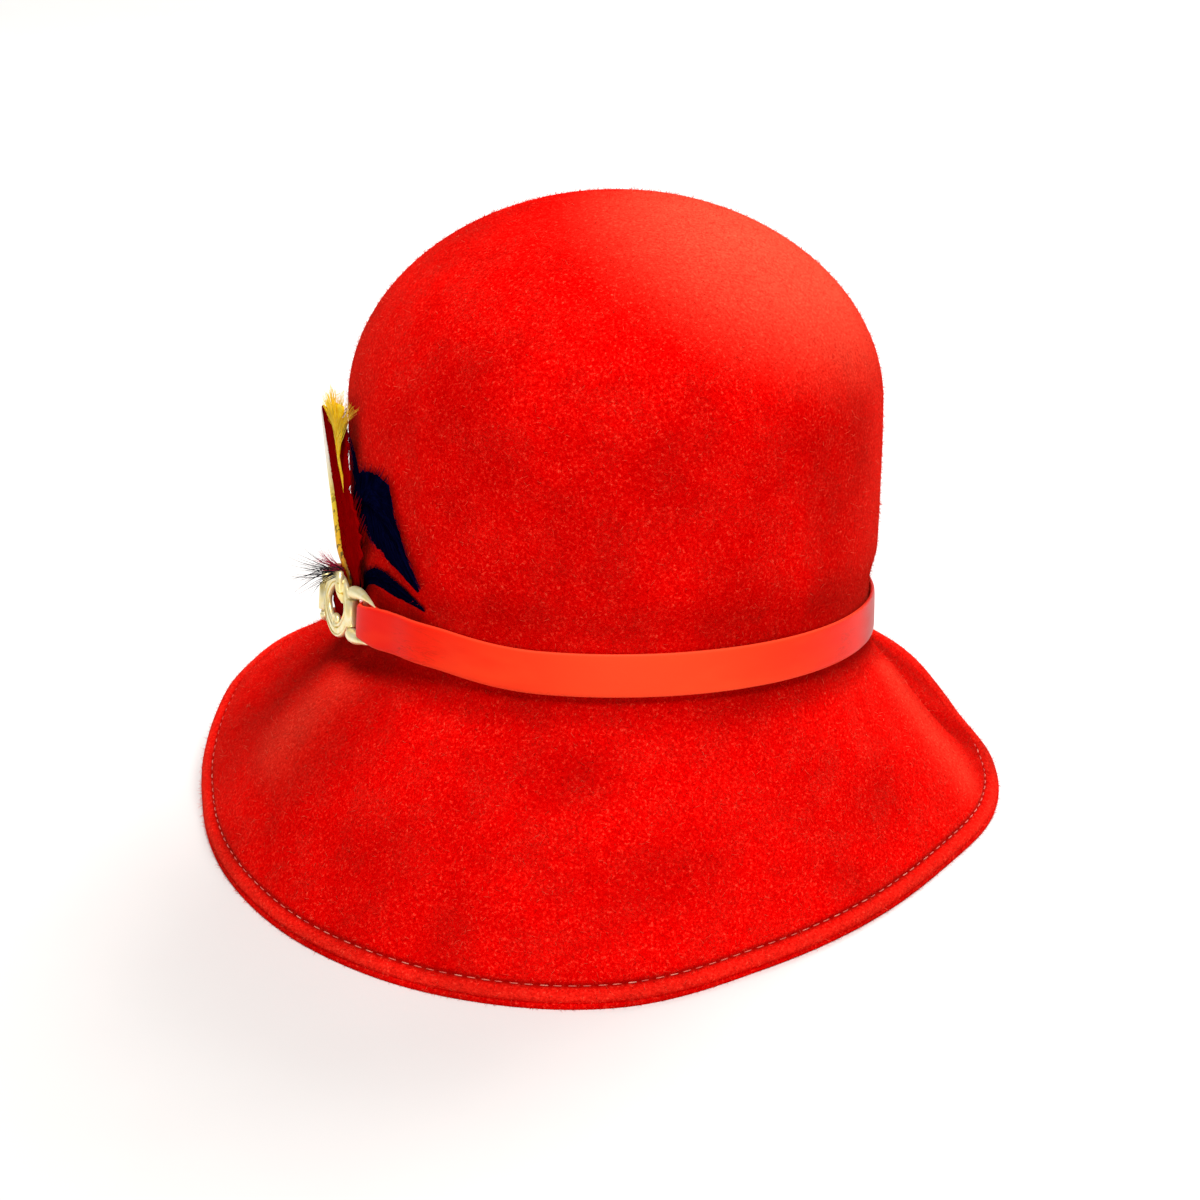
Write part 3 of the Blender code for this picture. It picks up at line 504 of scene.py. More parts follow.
def feltLayer(turn, s, depth=0.0, side=1.0):  # points of one layer of the felt, at a depth below its outside
    s = np.broadcast_to(s, turn.shape).astype(float)
    points, normal = feltSurface(turn, s), feltNormal(turn, s)
    length = np.linalg.norm(brimFrame(turn)[1], axis=-1)
    fromEdge = (2 - s) * length
    relief = -felt["groove"] * bump(fromEdge - felt["stitchLine"], felt["grooveWidth"])
    relief = relief + felt["puff"] * bump(fromEdge - felt["puffAt"], felt["puffWidth"])
    lumps = np.where(s < 1.02, felt["crownLumps"], felt["brimLumps"])
    uneven = lumps * (0.7 * unevenness(points, 24) + 0.3 * unevenness(points, 70))
    points = points + normal * (side * relief + uneven - depth)[..., None]
    points[..., 2] += edgeFrame(turn)[3] * smooth(1 - fromEdge / brim["hem"])
    return points


def stitchPlace(turn, side):  # points on the sewn line and their normals, on the outer or the under side
    length = np.linalg.norm(brimFrame(turn)[1], axis=-1)
    s = 2 - felt["stitchLine"] / length
    depth = 0.0 if side > 0 else 2 * felt["wall"]
    return feltLayer(turn, s, depth, side), feltNormal(turn, s) * side


def makeFelt(finish):
    turn = math.tau * np.arange(felt["around"]) / felt["around"]
    length = np.linalg.norm(brimFrame(turn)[1], axis=-1)
    dome = felt["domeShare"]
    domeRows, wallRows, slopeRows = felt["domeRows"], felt["wallRows"], felt["slopeRows"]
    outer = [dome * (i + 1) / domeRows for i in range(domeRows)]
    outer += [dome + (1 - dome) * (i + 1) / wallRows * 0.977 for i in range(wallRows)]
    outer += [1 + felt["filletDown"] * x for x in (-0.1, 0.1, 0.3, 0.5, 0.75, 1.0)]
    slopeFrom, slopeTo = outer[-1], 2 - felt["slopeEnds"] / length
    hemFrom = len(outer) + slopeRows
    outside = list(outer)
    outside += [slopeFrom + (slopeTo - slopeFrom) * (i + 1) / slopeRows for i in range(slopeRows)]
    outside += [2 - away / length for away in felt["hemRows"]]
    rows = [feltLayer(turn, s) for s in outside]
    middle, fall, outward, drop = edgeFrame(turn)
    for degrees in range(0, 181, 15):
        angle = math.radians(degrees)
        ring = middle + (outward * math.cos(angle) + fall * math.sin(angle)) * felt["wall"]
        ring[..., 2] += drop
        rows.append(ring)
    insideFrom = len(rows)
    rows += [feltLayer(turn, 2 - away / length, felt["wall"] * walls, -1.0)
             for away, walls in felt["underRows"]]
    inner = [slopeTo + (1.07 - slopeTo) * (i + 1) / 20 for i in range(20)] + [1.045, 1.02, 1.0, 0.985, 0.97]
    inner += list(np.linspace(0.95, dome, 12)) + [dome * (1 - (i + 1) / 19) for i in range(18)]
    rows += [feltLayer(turn, s, felt["wall"], 0.0) for s in inner]
    grid = np.array(rows)
    grid[..., 2] = np.maximum(grid[..., 2], 0)
    points = list(grid.reshape(-1, 3))
    faces = gridFaces(len(rows), felt["around"])
    tip = fromCrown(np.array([0, 0, crown["height"]]))
    down = crownTurn @ np.array([0, 0, felt["wall"]])
    last = (len(rows) - 1) * felt["around"]
    for pole, start in ((tip, 0), (tip - down, last)):
        points.append(pole)
        for j in range(felt["around"]):
            faces.append((len(points) - 1, start + j, start + (j + 1) % felt["around"]))
    made = meshObject("feltHat", points, faces, finish)
    # painted shade and painted highlight for the outside's rows, kept on the mesh for the felt and fuzz
    # materials
    wearAndPaintedLight = np.array([paintedFeltLight(turn, np.broadcast_to(s, turn.shape).astype(float)) for s in outside])
    for key, column in (("deep", wearAndPaintedLight[:, 0]), ("faded", wearAndPaintedLight[:, 1])):
        values = np.zeros(len(points))
        values[:column.size] = column.ravel()
        keep(made, key, values)
    sewn = [hemFrom + i for i, away in enumerate(felt["hemRows"]) if abs(away - felt["stitchLine"]) < 0.0006]
    markRegions(made, outer, hemFrom, insideFrom, sewn)
    return made


def markRegions(hat, outer, hemFrom, insideFrom, sewn):  # 0 crown, 1 brim, 2 hem, 3 inside, sewn or covered
    trim = [frame["nodes"][n] for n in frame["nodes"] if n != "felt_body"]
    trees = [BVHTree.FromPolygons([v.co for v in o.data.vertices], [p.vertices for p in o.data.polygons])
             for o in trim]
    around = felt["around"]
    crownRows = sum(s < 1 for s in outer)
    regions = []
    for face in hat.data.polygons:
        row = min(face.vertices) // around
        region = 0 if row < crownRows else 1 if row < hemFrom else 2 if row < insideFrom else 3
        if face.index >= len(hat.data.polygons) - around or row in sewn:
            region = 3
        if region == 0 and face.center.z < 0.16:
            start = face.center + face.normal * 0.00005
            if any(tree.ray_cast(start, face.normal, 0.02)[0] for tree in trees):
                region = 3
        regions.append(region)
    keep(hat, "region", regions, "INT", "FACE")


def feltFinish():
    made, tree, shader, where = finishOf(
        "redFelt", (0.62, 0.001, 0.0005), 0.9, Sheen_Weight=0.06, Sheen_Roughness=0.30,
        Sheen_Tint=(1.0, 0.34, 0.20), Specular_IOR_Level=0.0)
    patch = cloud(tree, where, 130, 4, 0.62, 0.4)
    grain = cloud(tree, where, 1150, 3, 0.7, 0.6)
    fibre = cloud(tree, where, 760, 2, 0.55, 1.8)
    tone = calc(tree, "ADD", calc(tree, "MULTIPLY", patch, 0.10), calc(tree, "MULTIPLY", grain, 0.90))
    colour = ramp(tree, tone, (0.36, (0.58, 0.0, 0.0)), (0.50, (0.77, 0.0005, 0.0003)),
                  (0.60, (0.88, 0.007, 0.004)), (0.72, (1.0, 0.08, 0.04)))
    strands = ramp(tree, fibre, (0.475, 0.0), (0.5, 1.0), (0.525, 0.0))
    thin = ramp(tree, cloud(tree, where, 90, 2, 0.5), (0.46, 0.0), (0.62, 1.0))
    flecks = calc(tree, "MULTIPLY", strands, thin)
    colour = tinted(tree, colour, flecks, 0.22, (1.0, 0.09, 0.05))
    cloudy = ramp(tree, cloud(tree, where, 20, 3, 0.55), (0.36, 0.76), (0.56, 1.0))
    colour = mixed(tree, 1.0, colour, cloudy, "MULTIPLY")
    # painted shade darkens the felt, and painted highlight turns it lighter and orange
    colour = tinted(tree, colour, stored(tree, "deep"), 0.75, felt["shadeRed"])
    colour = tinted(tree, colour, stored(tree, "faded"), ramp(tree, tone, (0.36, 0.35), (0.6, 0.95)),
                    (1.0, 0.11, 0.055))
    paint(tree, shader, colour, ramp(tree, grain, (0.3, 0.78), (0.7, 0.98)))
    height = calc(tree, "ADD", grain, calc(tree, "MULTIPLY", flecks, 0.5))
    bumped(tree, shader, height, 0.55, 0.0005)
    return made


def paintedFeltLight(turn, s):  # painted shade (in the stitch groove, at the crown's foot, at the top of the brim, in the dents and hollows) and painted highlight (on the crown's top, the hem's roll and the fold ridges) at each point of the outside
    places = feltSurface(turn, s)
    fromEdge = (2 - s) * np.linalg.norm(brimFrame(turn)[1], axis=-1)
    share = np.clip(s - 1, 0, 1)
    onCrown, onBrim = s < 1, s >= 1
    # painted shade: in the stitch groove, at the crown's foot, at the top of the brim and in the dents and
    # hollows
    deep = bump(fromEdge - felt["stitchLine"], felt["grooveShade"])
    strength, start, spread = felt["lowShade"]
    deep = np.maximum(deep, strength * onCrown * (1 - smooth((places[..., 2] - start) / spread)))
    strength, start, spread = felt["topShade"]
    deep = np.maximum(deep, strength * onBrim * (1 - smooth((share - start) / spread)))
    for at, spread, place, height, depth in felt["shades"]:
        deep = np.maximum(deep, depth * onBrim * nearby(turn, at, spread) * bump(share - place, height))
    # painted highlight: on the crown's top, more to the right, on the hem's roll and along the fold ridges
    strength, start, spread, aside = felt["topHighlight"]
    faded = strength * onCrown * smooth((places[..., 2] + aside * places[..., 0] - start) / spread)
    faded = np.maximum(faded, felt["hemHighlight"] * onBrim * bump(fromEdge - 0.0040, felt["puffWidth"]))
    for at, spread, near, far, rise in felt["wearAndPaintedLight"]:
        along = smooth((share - near) / 0.1) * smooth((far - share) / 0.2)
        faded = np.maximum(faded, rise * onBrim * nearby(turn, at, spread) * along)
    return np.clip(deep, 0, 1), np.clip(faded, 0, 1)


feltHat = makeFelt(feltFinish())
putOn(feltHat, "felt", "felt_body")
print("felt body made,", len(feltHat.data.polygons), "faces")


# Strands on a surface and along lines

def strandObject(name, length, radius, bend, sides=3, steps=2, flat=1.0):  # a closed tapered strand along +Z
    t = np.linspace(0, 1, steps + 1)
    path = np.stack([bend * length * t**2, 0 * t, length * t], -1)
    radii = radius * (1 - 0.85 * t**1.5)
    shell = tube(path, radii, sides, flat, facing=(0, 1, 0), cap=1)
    return meshObject(name, *shell)


def fibreObject(name, length, radius, bend):  # a bent three-sided hair with a pointed tip, kept to ten faces
    rings = [(0.0, 0.0, 1.0), (0.55 * length, 0.3 * bend * length, 0.7)]
    points = [(x + radius * size * math.cos(a), radius * size * math.sin(a), z)
              for z, x, size in rings for a in (0.0, math.tau / 3, -math.tau / 3)]
    points.append((bend * length, 0, length))
    faces = [(0, 2, 1)] + gridFaces(2, 3) + [(3 + j, 3 + (j + 1) % 3, 6) for j in range(3)]
    return meshObject(name, points, faces)


def newTree(name, **inputs):  # a Geometry Nodes tree with named inputs
    tree = bpy.data.node_groups.new(name, "GeometryNodeTree")
    tree.interface.new_socket("Geometry", in_out="INPUT", socket_type="NodeSocketGeometry")
    for label, kind in inputs.items():
        tree.interface.new_socket(label, in_out="INPUT", socket_type="NodeSocket" + kind)
    tree.interface.new_socket("Geometry", in_out="OUTPUT", socket_type="NodeSocketGeometry")
    source = tree.nodes.new("NodeGroupInput")
    return tree, {s.name: s for s in source.outputs if s.name}


def closeTree(tree, instances, finish):
    solid = put(tree, "GeometryNodeRealizeInstances", {"Geometry": instances})
    painted = put(tree, "GeometryNodeSetMaterial", {"Geometry": out(solid), "Material": finish})
    end = tree.nodes.new("NodeGroupOutput")
    tree.links.new(out(painted), end.inputs["Geometry"])
    return tree


def runTree(obj, tree, **values):
    modifier = obj.modifiers.new(tree.name, "NODES")
    modifier.node_group = tree
    for item in tree.interface.items_tree:
        if item.item_type == "SOCKET" and item.in_out == "INPUT" and item.name in values:
            modifier[item.identifier] = values[item.name]
    plain(obj)
    for extra in ("way", "face", "size", "region"):
        if extra in obj.data.attributes:
            obj.data.attributes.remove(obj.data.attributes[extra])
    return obj


def lineUpTree():  # one strand on each point, along its way, its flat side to its face
    tree, given = newTree("strandsOnPoints", Strand="Object", Finish="Material")
    shape = put(tree, "GeometryNodeObjectInfo", {"Object": given["Strand"]})
    read = {key: out(put(tree, "GeometryNodeInputNamedAttribute", {"Name": key}, data_type=kind), "Attribute")
            for key, kind in (("way", "FLOAT_VECTOR"), ("face", "FLOAT_VECTOR"), ("size", "FLOAT"))}
    aimed = put(tree, "FunctionNodeAlignRotationToVector", {"Vector": read["way"]}, axis="Z")
    turned = put(tree, "FunctionNodeAlignRotationToVector", {"Rotation": out(aimed), "Vector": read["face"]},
                 axis="Y", pivot_axis="Z")
    placed = put(tree, "GeometryNodeInstanceOnPoints", {
        "Points": given["Geometry"], "Instance": out(shape, "Geometry"), "Rotation": out(turned),
        "Scale": read["size"]})
    return closeTree(tree, out(placed), given["Finish"])


def fuzzTree():  # strands scattered over the faces of one region
    tree, given = newTree("fuzzOnFaces", Strands="Collection", Region="Int", Density="Float", Lean="Float",
                          Shortest="Float", Longest="Float", Seed="Int", Finish="Material")
    named = put(tree, "GeometryNodeInputNamedAttribute", {"Name": "region"}, data_type="INT")
    chosen = put(tree, "FunctionNodeCompare", {"A": out(named, "Attribute"), "B": given["Region"]},
                 data_type="INT", operation="EQUAL")
    points = put(tree, "GeometryNodeDistributePointsOnFaces", {
        "Mesh": given["Geometry"], "Selection": out(chosen), "Density": given["Density"],
        "Seed": given["Seed"]})
    shapes = put(tree, "GeometryNodeCollectionInfo", {
        "Collection": given["Strands"], "Separate Children": True, "Reset Children": True})
    leanBack = out(put(tree, "ShaderNodeMath", operation="MULTIPLY"))
    tree.links.new(given["Lean"], leanBack.node.inputs[0])
    leanBack.node.inputs[1].default_value = -1
    lowest = put(tree, "ShaderNodeCombineXYZ", {"X": leanBack, "Y": leanBack, "Z": -math.pi})
    highest = put(tree, "ShaderNodeCombineXYZ", {"X": given["Lean"], "Y": given["Lean"], "Z": math.pi})
    anyTurn = put(tree, "FunctionNodeRandomValue", {
        "Min": out(lowest), "Max": out(highest), "Seed": given["Seed"]}, data_type="FLOAT_VECTOR")
    euler = put(tree, "FunctionNodeEulerToRotation", {"Euler": out(anyTurn)})
    turned = put(tree, "FunctionNodeRotateRotation", {
        "Rotation": out(points, "Rotation"), "Rotate By": out(euler)}, rotation_space="LOCAL")
    anySize = put(tree, "FunctionNodeRandomValue", {
        "Min": given["Shortest"], "Max": given["Longest"], "Seed": given["Seed"]}, data_type="FLOAT")
    placed = put(tree, "GeometryNodeInstanceOnPoints", {
        "Points": out(points, "Points"), "Instance": out(shapes), "Pick Instance": True,
        "Rotation": out(turned), "Scale": out(anySize)})
    anyShade = put(tree, "FunctionNodeRandomValue", {"Seed": given["Seed"]}, data_type="FLOAT")
    shaded = put(tree, "GeometryNodeStoreNamedAttribute", {
        "Geometry": out(placed), "Name": "shade", "Value": out(anyShade)},
        data_type="FLOAT", domain="INSTANCE")
    return closeTree(tree, out(shaded), given["Finish"])


strandTree, feltFuzzTree = lineUpTree(), fuzzTree()


def strandsAt(name, rows, strand, finish):  # rows of (place, way, face, size, shade)
    places, ways, faces, sizes, shades = [np.array(column, float) for column in zip(*rows)]
    mesh = bpy.data.meshes.new(name)
    mesh.from_pydata([tuple(p) for p in places], [], [])
    made = bpy.data.objects.new(name, mesh)
    bpy.context.scene.collection.objects.link(made)
    keep(made, "way", ways, "FLOAT_VECTOR")
    keep(made, "face", faces, "FLOAT_VECTOR")
    keep(made, "size", sizes)
    keep(made, "shade", shades)
    runTree(made, strandTree, Strand=strand, Finish=finish)
    made.data.shade_smooth()
    return made


# Stitches round the hem

stitches = {"count": 196, "length": 0.0025, "radius": 0.00016, "sink": 0.00010}


def threadFinish():
    made, tree, shader, where = finishOf("hemThread", (0.80, 0.22, 0.17), 0.55, Sheen_Weight=0.3)
    ply = out(put(tree, "ShaderNodeTexWave", {
        "Vector": stretched(tree, where, (1, 1, 1), (0.5, 0.7, 0.4)), "Scale": 900.0, "Distortion": 1.5}))
    pale = ramp(tree, stored(tree, "shade"), (0.0, (0.60, 0.03, 0.02)), (0.55, (0.75, 0.13, 0.08)),
                (1.0, (0.90, 0.36, 0.26)))
    paint(tree, shader, tinted(tree, pale, ply, 0.35, (0.45, 0.03, 0.02)))
    bumped(tree, shader, ply, 0.5, 0.0001)
    return made


def makeStitches(finish):
    t = np.linspace(0, 1, 7)
    arch = np.stack([0 * t, 0.11 * np.sin(math.pi * t) ** 0.7 - 0.07, t - 0.5], -1) * stitches["length"]
    thread = np.full(7, stitches["radius"]) * (0.75 + 0.25 * np.sin(math.pi * t))
    stitch = meshObject("stitch", *tube(arch, thread, 6, cap=2))
    dense = math.tau * np.arange(4000) / 4000
    rows = []
    for side in (1, -1):
        line, normal = stitchPlace(dense, side)
        steps = np.linalg.norm(np.roll(line, -1, 0) - line, axis=-1)
        reached = np.concatenate([[0], np.cumsum(steps)])
        picks = np.linspace(0, reached[-1], stitches["count"], endpoint=False)
        if side < 0:
            picks = picks + reached[-1] / stitches["count"] / 2
        index = np.searchsorted(reached, picks).clip(0, len(dense) - 1)
        for n, i in enumerate(index):
            way = line[(i + 3) % len(line)] - line[i - 3]
            jitter = noise.noise((n * 0.7, side, 0.0))
            place = line[i] + normal[i] * (stitches["radius"] - stitches["sink"])
            rows.append((place, way + normal[i] * 0.0006 * jitter, normal[i], 1 + 0.12 * jitter,
                         0.5 + 0.9 * jitter))
    made = strandsAt("hemStitches", rows, stitch, finish)
    bpy.data.objects.remove(stitch)
    return made


putOn(makeStitches(threadFinish()), "felt")
print("hem stitches sewn")


# Felt fuzz

fuzz = {
    "strands": [  # length, radius, bend
        (0.0015, 0.00006, 0.25),
        (0.0019, 0.00005, -0.45),
        (0.0012, 0.00007, 0.55),
    ],
    "pieces": {  # region, strands, lean, shortest, longest, seed
        "crownFuzz": (0, 18500, 1.25, 0.5, 1.25, 3),
        "brimFuzz": (1, 17500, 1.30, 0.5, 1.3, 5),
        "hemFuzz": (2, 8000, 1.0, 0.45, 1.15, 7),
    },
}


def fuzzFinish():
    made, tree, shader, where = finishOf(
        "feltFibre", (0.7, 0.02, 0.012), 0.8, Sheen_Weight=0.05, Sheen_Tint=(1.0, 0.3, 0.15),
        Specular_IOR_Level=0.0)
    colour = ramp(tree, stored(tree, "shade"), (0.0, (0.52, 0.0, 0.0)), (0.45, (0.76, 0.002, 0.001)),
                  (0.86, (0.90, 0.016, 0.008)), (1.0, (1.0, 0.20, 0.11)))
    colour = mixed(tree, cloud(tree, where, 160), colour, (0.62, 0.002, 0.001))
    # the felt's painted shade and painted highlight, also on its fuzz
    colour = tinted(tree, colour, stored(tree, "deep"), 0.75, felt["shadeRed"])
    colour = tinted(tree, colour, stored(tree, "faded"), 0.8, (1.0, 0.12, 0.06))
    paint(tree, shader, colour)
    bumped(tree, shader, cloud(tree, where, 4000), 0.2, 0.0001)
    return made


def makeFuzz(finish):
    templates = bpy.data.collections.new("fuzzStrands")
    for i, (length, radius, bend) in enumerate(fuzz["strands"]):
        strand = fibreObject(f"fuzzStrand{i}", length, radius, bend)
        bpy.context.scene.collection.objects.unlink(strand)
        templates.objects.link(strand)
    regions = np.zeros(len(feltHat.data.polygons), int)
    feltHat.data.attributes["region"].data.foreach_get("value", regions)
    areas = np.array([p.area for p in feltHat.data.polygons])
    for name, (region, count, lean, shortest, longest, seed) in fuzz["pieces"].items():
        piece = bpy.data.objects.new(name, feltHat.data.copy())
        bpy.context.scene.collection.objects.link(piece)
        density = count / areas[regions == region].sum()
        runTree(piece, feltFuzzTree, Strands=templates, Region=region, Density=float(density), Lean=lean,
                Shortest=shortest, Longest=longest, Seed=seed, Finish=finish)
        putOn(piece, "felt")
        print(name, len(piece.data.polygons), "faces")
    for strand in list(templates.objects):
        bpy.data.objects.remove(strand)
    bpy.data.collections.remove(templates)


makeFuzz(fuzzFinish())


# The strap and the trim's places

trim = {
    "linkTurn": math.radians(-78.5), "lean": math.radians(4), "leanFade": 0.0176, "ringLength": 0.0122,
    "ringHeight": 0.0142, "barRadius": 0.00085, "clearance": 0.0003,
    "linkLength": 0.0264, "linkHeight": 0.021,
    "frontBar": 0.0046, "frontBarrel": 0.0060, "rearBarrel": 0.0120, "rearBar": 0.0062,
}


def turnAt(along):  # the turn at a distance along the strap from the link, positive to the front
    a, b = [float(r) for r in crownRadii(np.array(strap["height"]))]
    along = np.asarray(along, float)
    turn = np.full_like(along, trim["linkTurn"])
    for _ in range(80):
        turn = turn + along / 80 / np.hypot(a * np.cos(turn), b * np.sin(turn))
    return turn


def strapPoint(along, off):
    turn = turnAt(along)
    away = np.abs((turn - trim["linkTurn"] + math.pi) % math.tau - math.pi)
    rise = strap["rise"] * smooth((strap["riseStarts"] - away) / (strap["riseStarts"] - strap["riseEnds"]))
    foot = crownPoint(turn, strap["height"], off)
    foot[..., 2] += rise
    return foot


def stepTo(start, off, length, way):
    along = start[0] + way * length
    for _ in range(6):
        along += way * (length - np.linalg.norm(strapPoint(along, off) - strapPoint(*start)))
    return float(along), off


def frameBetween(rear, front):  # X to the front joint, Y up the crown, Z off the felt
    start, end = Vector(strapPoint(*rear)), Vector(strapPoint(*front))
    along = (end - start).normalized()
    up = Vector((0, 0, 1))
    turned = Matrix((along, up, along.cross(up))).transposed().to_4x4()
    return Matrix.Translation((start + end) / 2) @ turned


frontBarrel = (trim["linkLength"] / 2, trim["frontBarrel"])
rearBarrel = stepTo(frontBarrel, trim["rearBarrel"], trim["linkLength"], -1)
frontBar = stepTo(frontBarrel, trim["frontBar"], trim["ringLength"], 1)
rearBar = stepTo(rearBarrel, trim["rearBar"], trim["ringLength"], -1)
linkFrame = frameBetween(rearBarrel, frontBarrel)


def leanBy(share):
    return linkFrame @ Matrix.Rotation(-trim["lean"] * share, 4, "X") @ linkFrame.inverted()


def strapLine():  # rows of place in the crown's frame, lean share, narrowing share
    loop = trim["barRadius"] + trim["clearance"] + strap["thickness"] / 2
    rest = strap["gap"] + strap["thickness"] / 2
    a, b = [float(r) for r in crownRadii(np.array(strap["height"]))]
    girth = math.pi * (3 * (a + b) - math.sqrt((3 * a + b) * (a + 3 * b)))
    front, rear = frontBar[0], rearBar[0] + girth
    settles = strap["turnBack"] + strap["settle"] / 4
    under = rest + strap["thickness"] + strap["gap"]

    def shares(away):
        return 1 - smooth(away / trim["leanFade"]), 1 - smooth(away / strap["taper"])

    def endOf(bar, way):
        along, off = bar
        low = off - loop
        found = []
        for share in np.linspace(1, 0, 15)[:-1]:
            away = strap["turnBack"] * share
            found.append((along + way * away, rest + (low - rest) * (1 - share), *shares(away)))
        for i in range(strap["loopSteps"] + 1):
            angle = math.pi * i / strap["loopSteps"]
            found.append((along - way * loop * math.sin(angle), off - loop * math.cos(angle), *shares(0)))
        return found

    run = []
    for i in range(strap["steps"]):
        along = front + (rear - front) * (i + 1) / (strap["steps"] + 1)
        highs = []
        for place, off in ((front, frontBar[1]), (rear, rearBar[1])):
            away = abs(along - place)
            if away < settles:
                highs.append(off + loop + (under - off - loop) * smooth(away / strap["turnBack"]))
            else:
                highs.append(under + (rest - under) * smooth((away - settles) / strap["settle"]))
        run.append((along, max(highs), *shares(min(along - front, rear - along))))
    line = endOf((front, frontBar[1]), 1) + run + endOf((rear, rearBar[1]), -1)[::-1]
    return [(strapPoint(along, off), lean, narrow) for along, off, lean, narrow in line]


def leatherFinish():
    made, tree, shader, where = finishOf(
        "redLeather", (0.90, 0.01, 0.002), 0.45, Specular_IOR_Level=0.06, Specular_Tint=(1.0, 0.62, 0.36))
    along = out(put(tree, "ShaderNodeUVMap", uv_map="strapRun"))
    broad = cloud(tree, stretched(tree, along, (18, 60, 1)), 1.0, 3, 0.6)
    cells = put(tree, "ShaderNodeTexVoronoi", {"Vector": where, "Scale": 1900.0, "Randomness": 1.0})
    grain = out(cells, "Distance")
    creases = cloud(tree, stretched(tree, along, (60, 420, 1), (0, 0, 0.35)), 1.0, 5, 0.7, 0.9)
    crease = ramp(tree, creases, (0.46, 1.0), (0.49, 0.72), (0.52, 1.0))
    wearAndPaintedLight = ramp(tree, cloud(tree, stretched(tree, along, (26, 40, 1)), 1.0, 2), (0.52, 0.0), (0.68, 1.0))
    lines = mixed(tree, wearAndPaintedLight, (1.0, 1.0, 1.0), crease)
    colour = ramp(tree, broad, (0.32, (0.84, 0.001, 0.0)), (0.52, (0.92, 0.006, 0.001)),
                  (0.70, (0.98, 0.025, 0.005)))
    colour = mixed(tree, 1.0, colour, lines, "MULTIPLY")
    # a painted highlight, an edge tint and a painted shade on the strap
    for key, (share, target) in strap["tints"].items():
        colour = tinted(tree, colour, stored(tree, key), share, target)
    paint(tree, shader, colour, ramp(tree, broad, (0.3, 0.30), (0.7, 0.46)))
    height = calc(tree, "ADD", calc(tree, "MULTIPLY", grain, 0.35), calc(tree, "MULTIPLY", lines, 0.8))
    bumped(tree, shader, height, 0.25, 0.0003)
    return made


def makeStrap(finish):
    line = strapLine()
    middle = np.array([p for p, _, _ in line])
    way = unit(np.gradient(middle, axis=0))
    sides = strap["sides"]
    points, runs, looks = [], [], []  # looks: the painted front highlight, the edge tint and the painted end shade at each point
    reached = np.concatenate([[0], np.cumsum(np.linalg.norm(np.diff(middle, axis=0), axis=-1))])
    for i, (p, leanShare, narrow) in enumerate(line):
        lean = np.array(leanBy(leanShare))
        off = np.cross(way[i], (0, 0, 1))
        off = off / np.linalg.norm(off)
        half = (strap["width"] + (strap["endWidth"] - strap["width"]) * narrow) / 2
        fromEnd = min(reached[i], reached[-1] - reached[i])
        half -= strap["tuck"] * (1 - smooth((fromEnd - 0.7 * strap["turnBack"]) / (0.3 * strap["turnBack"])))
        for j in range(sides):
            angle = math.tau * j / sides
            x, y = math.cos(angle), math.sin(angle)
            across = math.copysign(abs(x) ** strap["squareWide"], x)
            thick = math.copysign(abs(y) ** strap["squareThick"], y)
            spot = p + np.array([0, 0, 1]) * half * across + off * strap["thickness"] / 2 * thick
            points.append(lean[:3, :3] @ spot + lean[:3, 3])
            runs.append((reached[i], half * across))
            aside = math.atan2(p[0], -p[1])
            # painted highlight where the strap faces the front, the edges, and painted shade round the right
            # end
            looks.append((bump(aside - 0.1, 0.62), smooth((abs(across) - 0.90) / 0.08),
                          smooth((aside - 0.98) / 0.30) * smooth((2.6 - aside) / 0.9)))
    faces = gridFaces(len(line), sides)
    for start, end in ((0, 0), ((len(line) - 1) * sides, 1)):
        points.append(np.mean(points[start:start + sides], 0))
        runs.append((reached[-1] * end, 0))
        looks.append((0.0, 1.0, 0.0))
        for j in range(sides):
            faces.append((len(points) - 1, start + j, start + (j + 1) % sides))
    made = meshObject("leatherStrap", fromCrown(points), faces, finish)
    keepUv(made, "strapRun", runs)
    for key, values in zip(strap["tints"], np.array(looks).T):
        keep(made, key, values)
    return made


putOn(makeStrap(leatherFinish()), "leather", "leather_strap")
print("strap made")


# Gilt rings and link

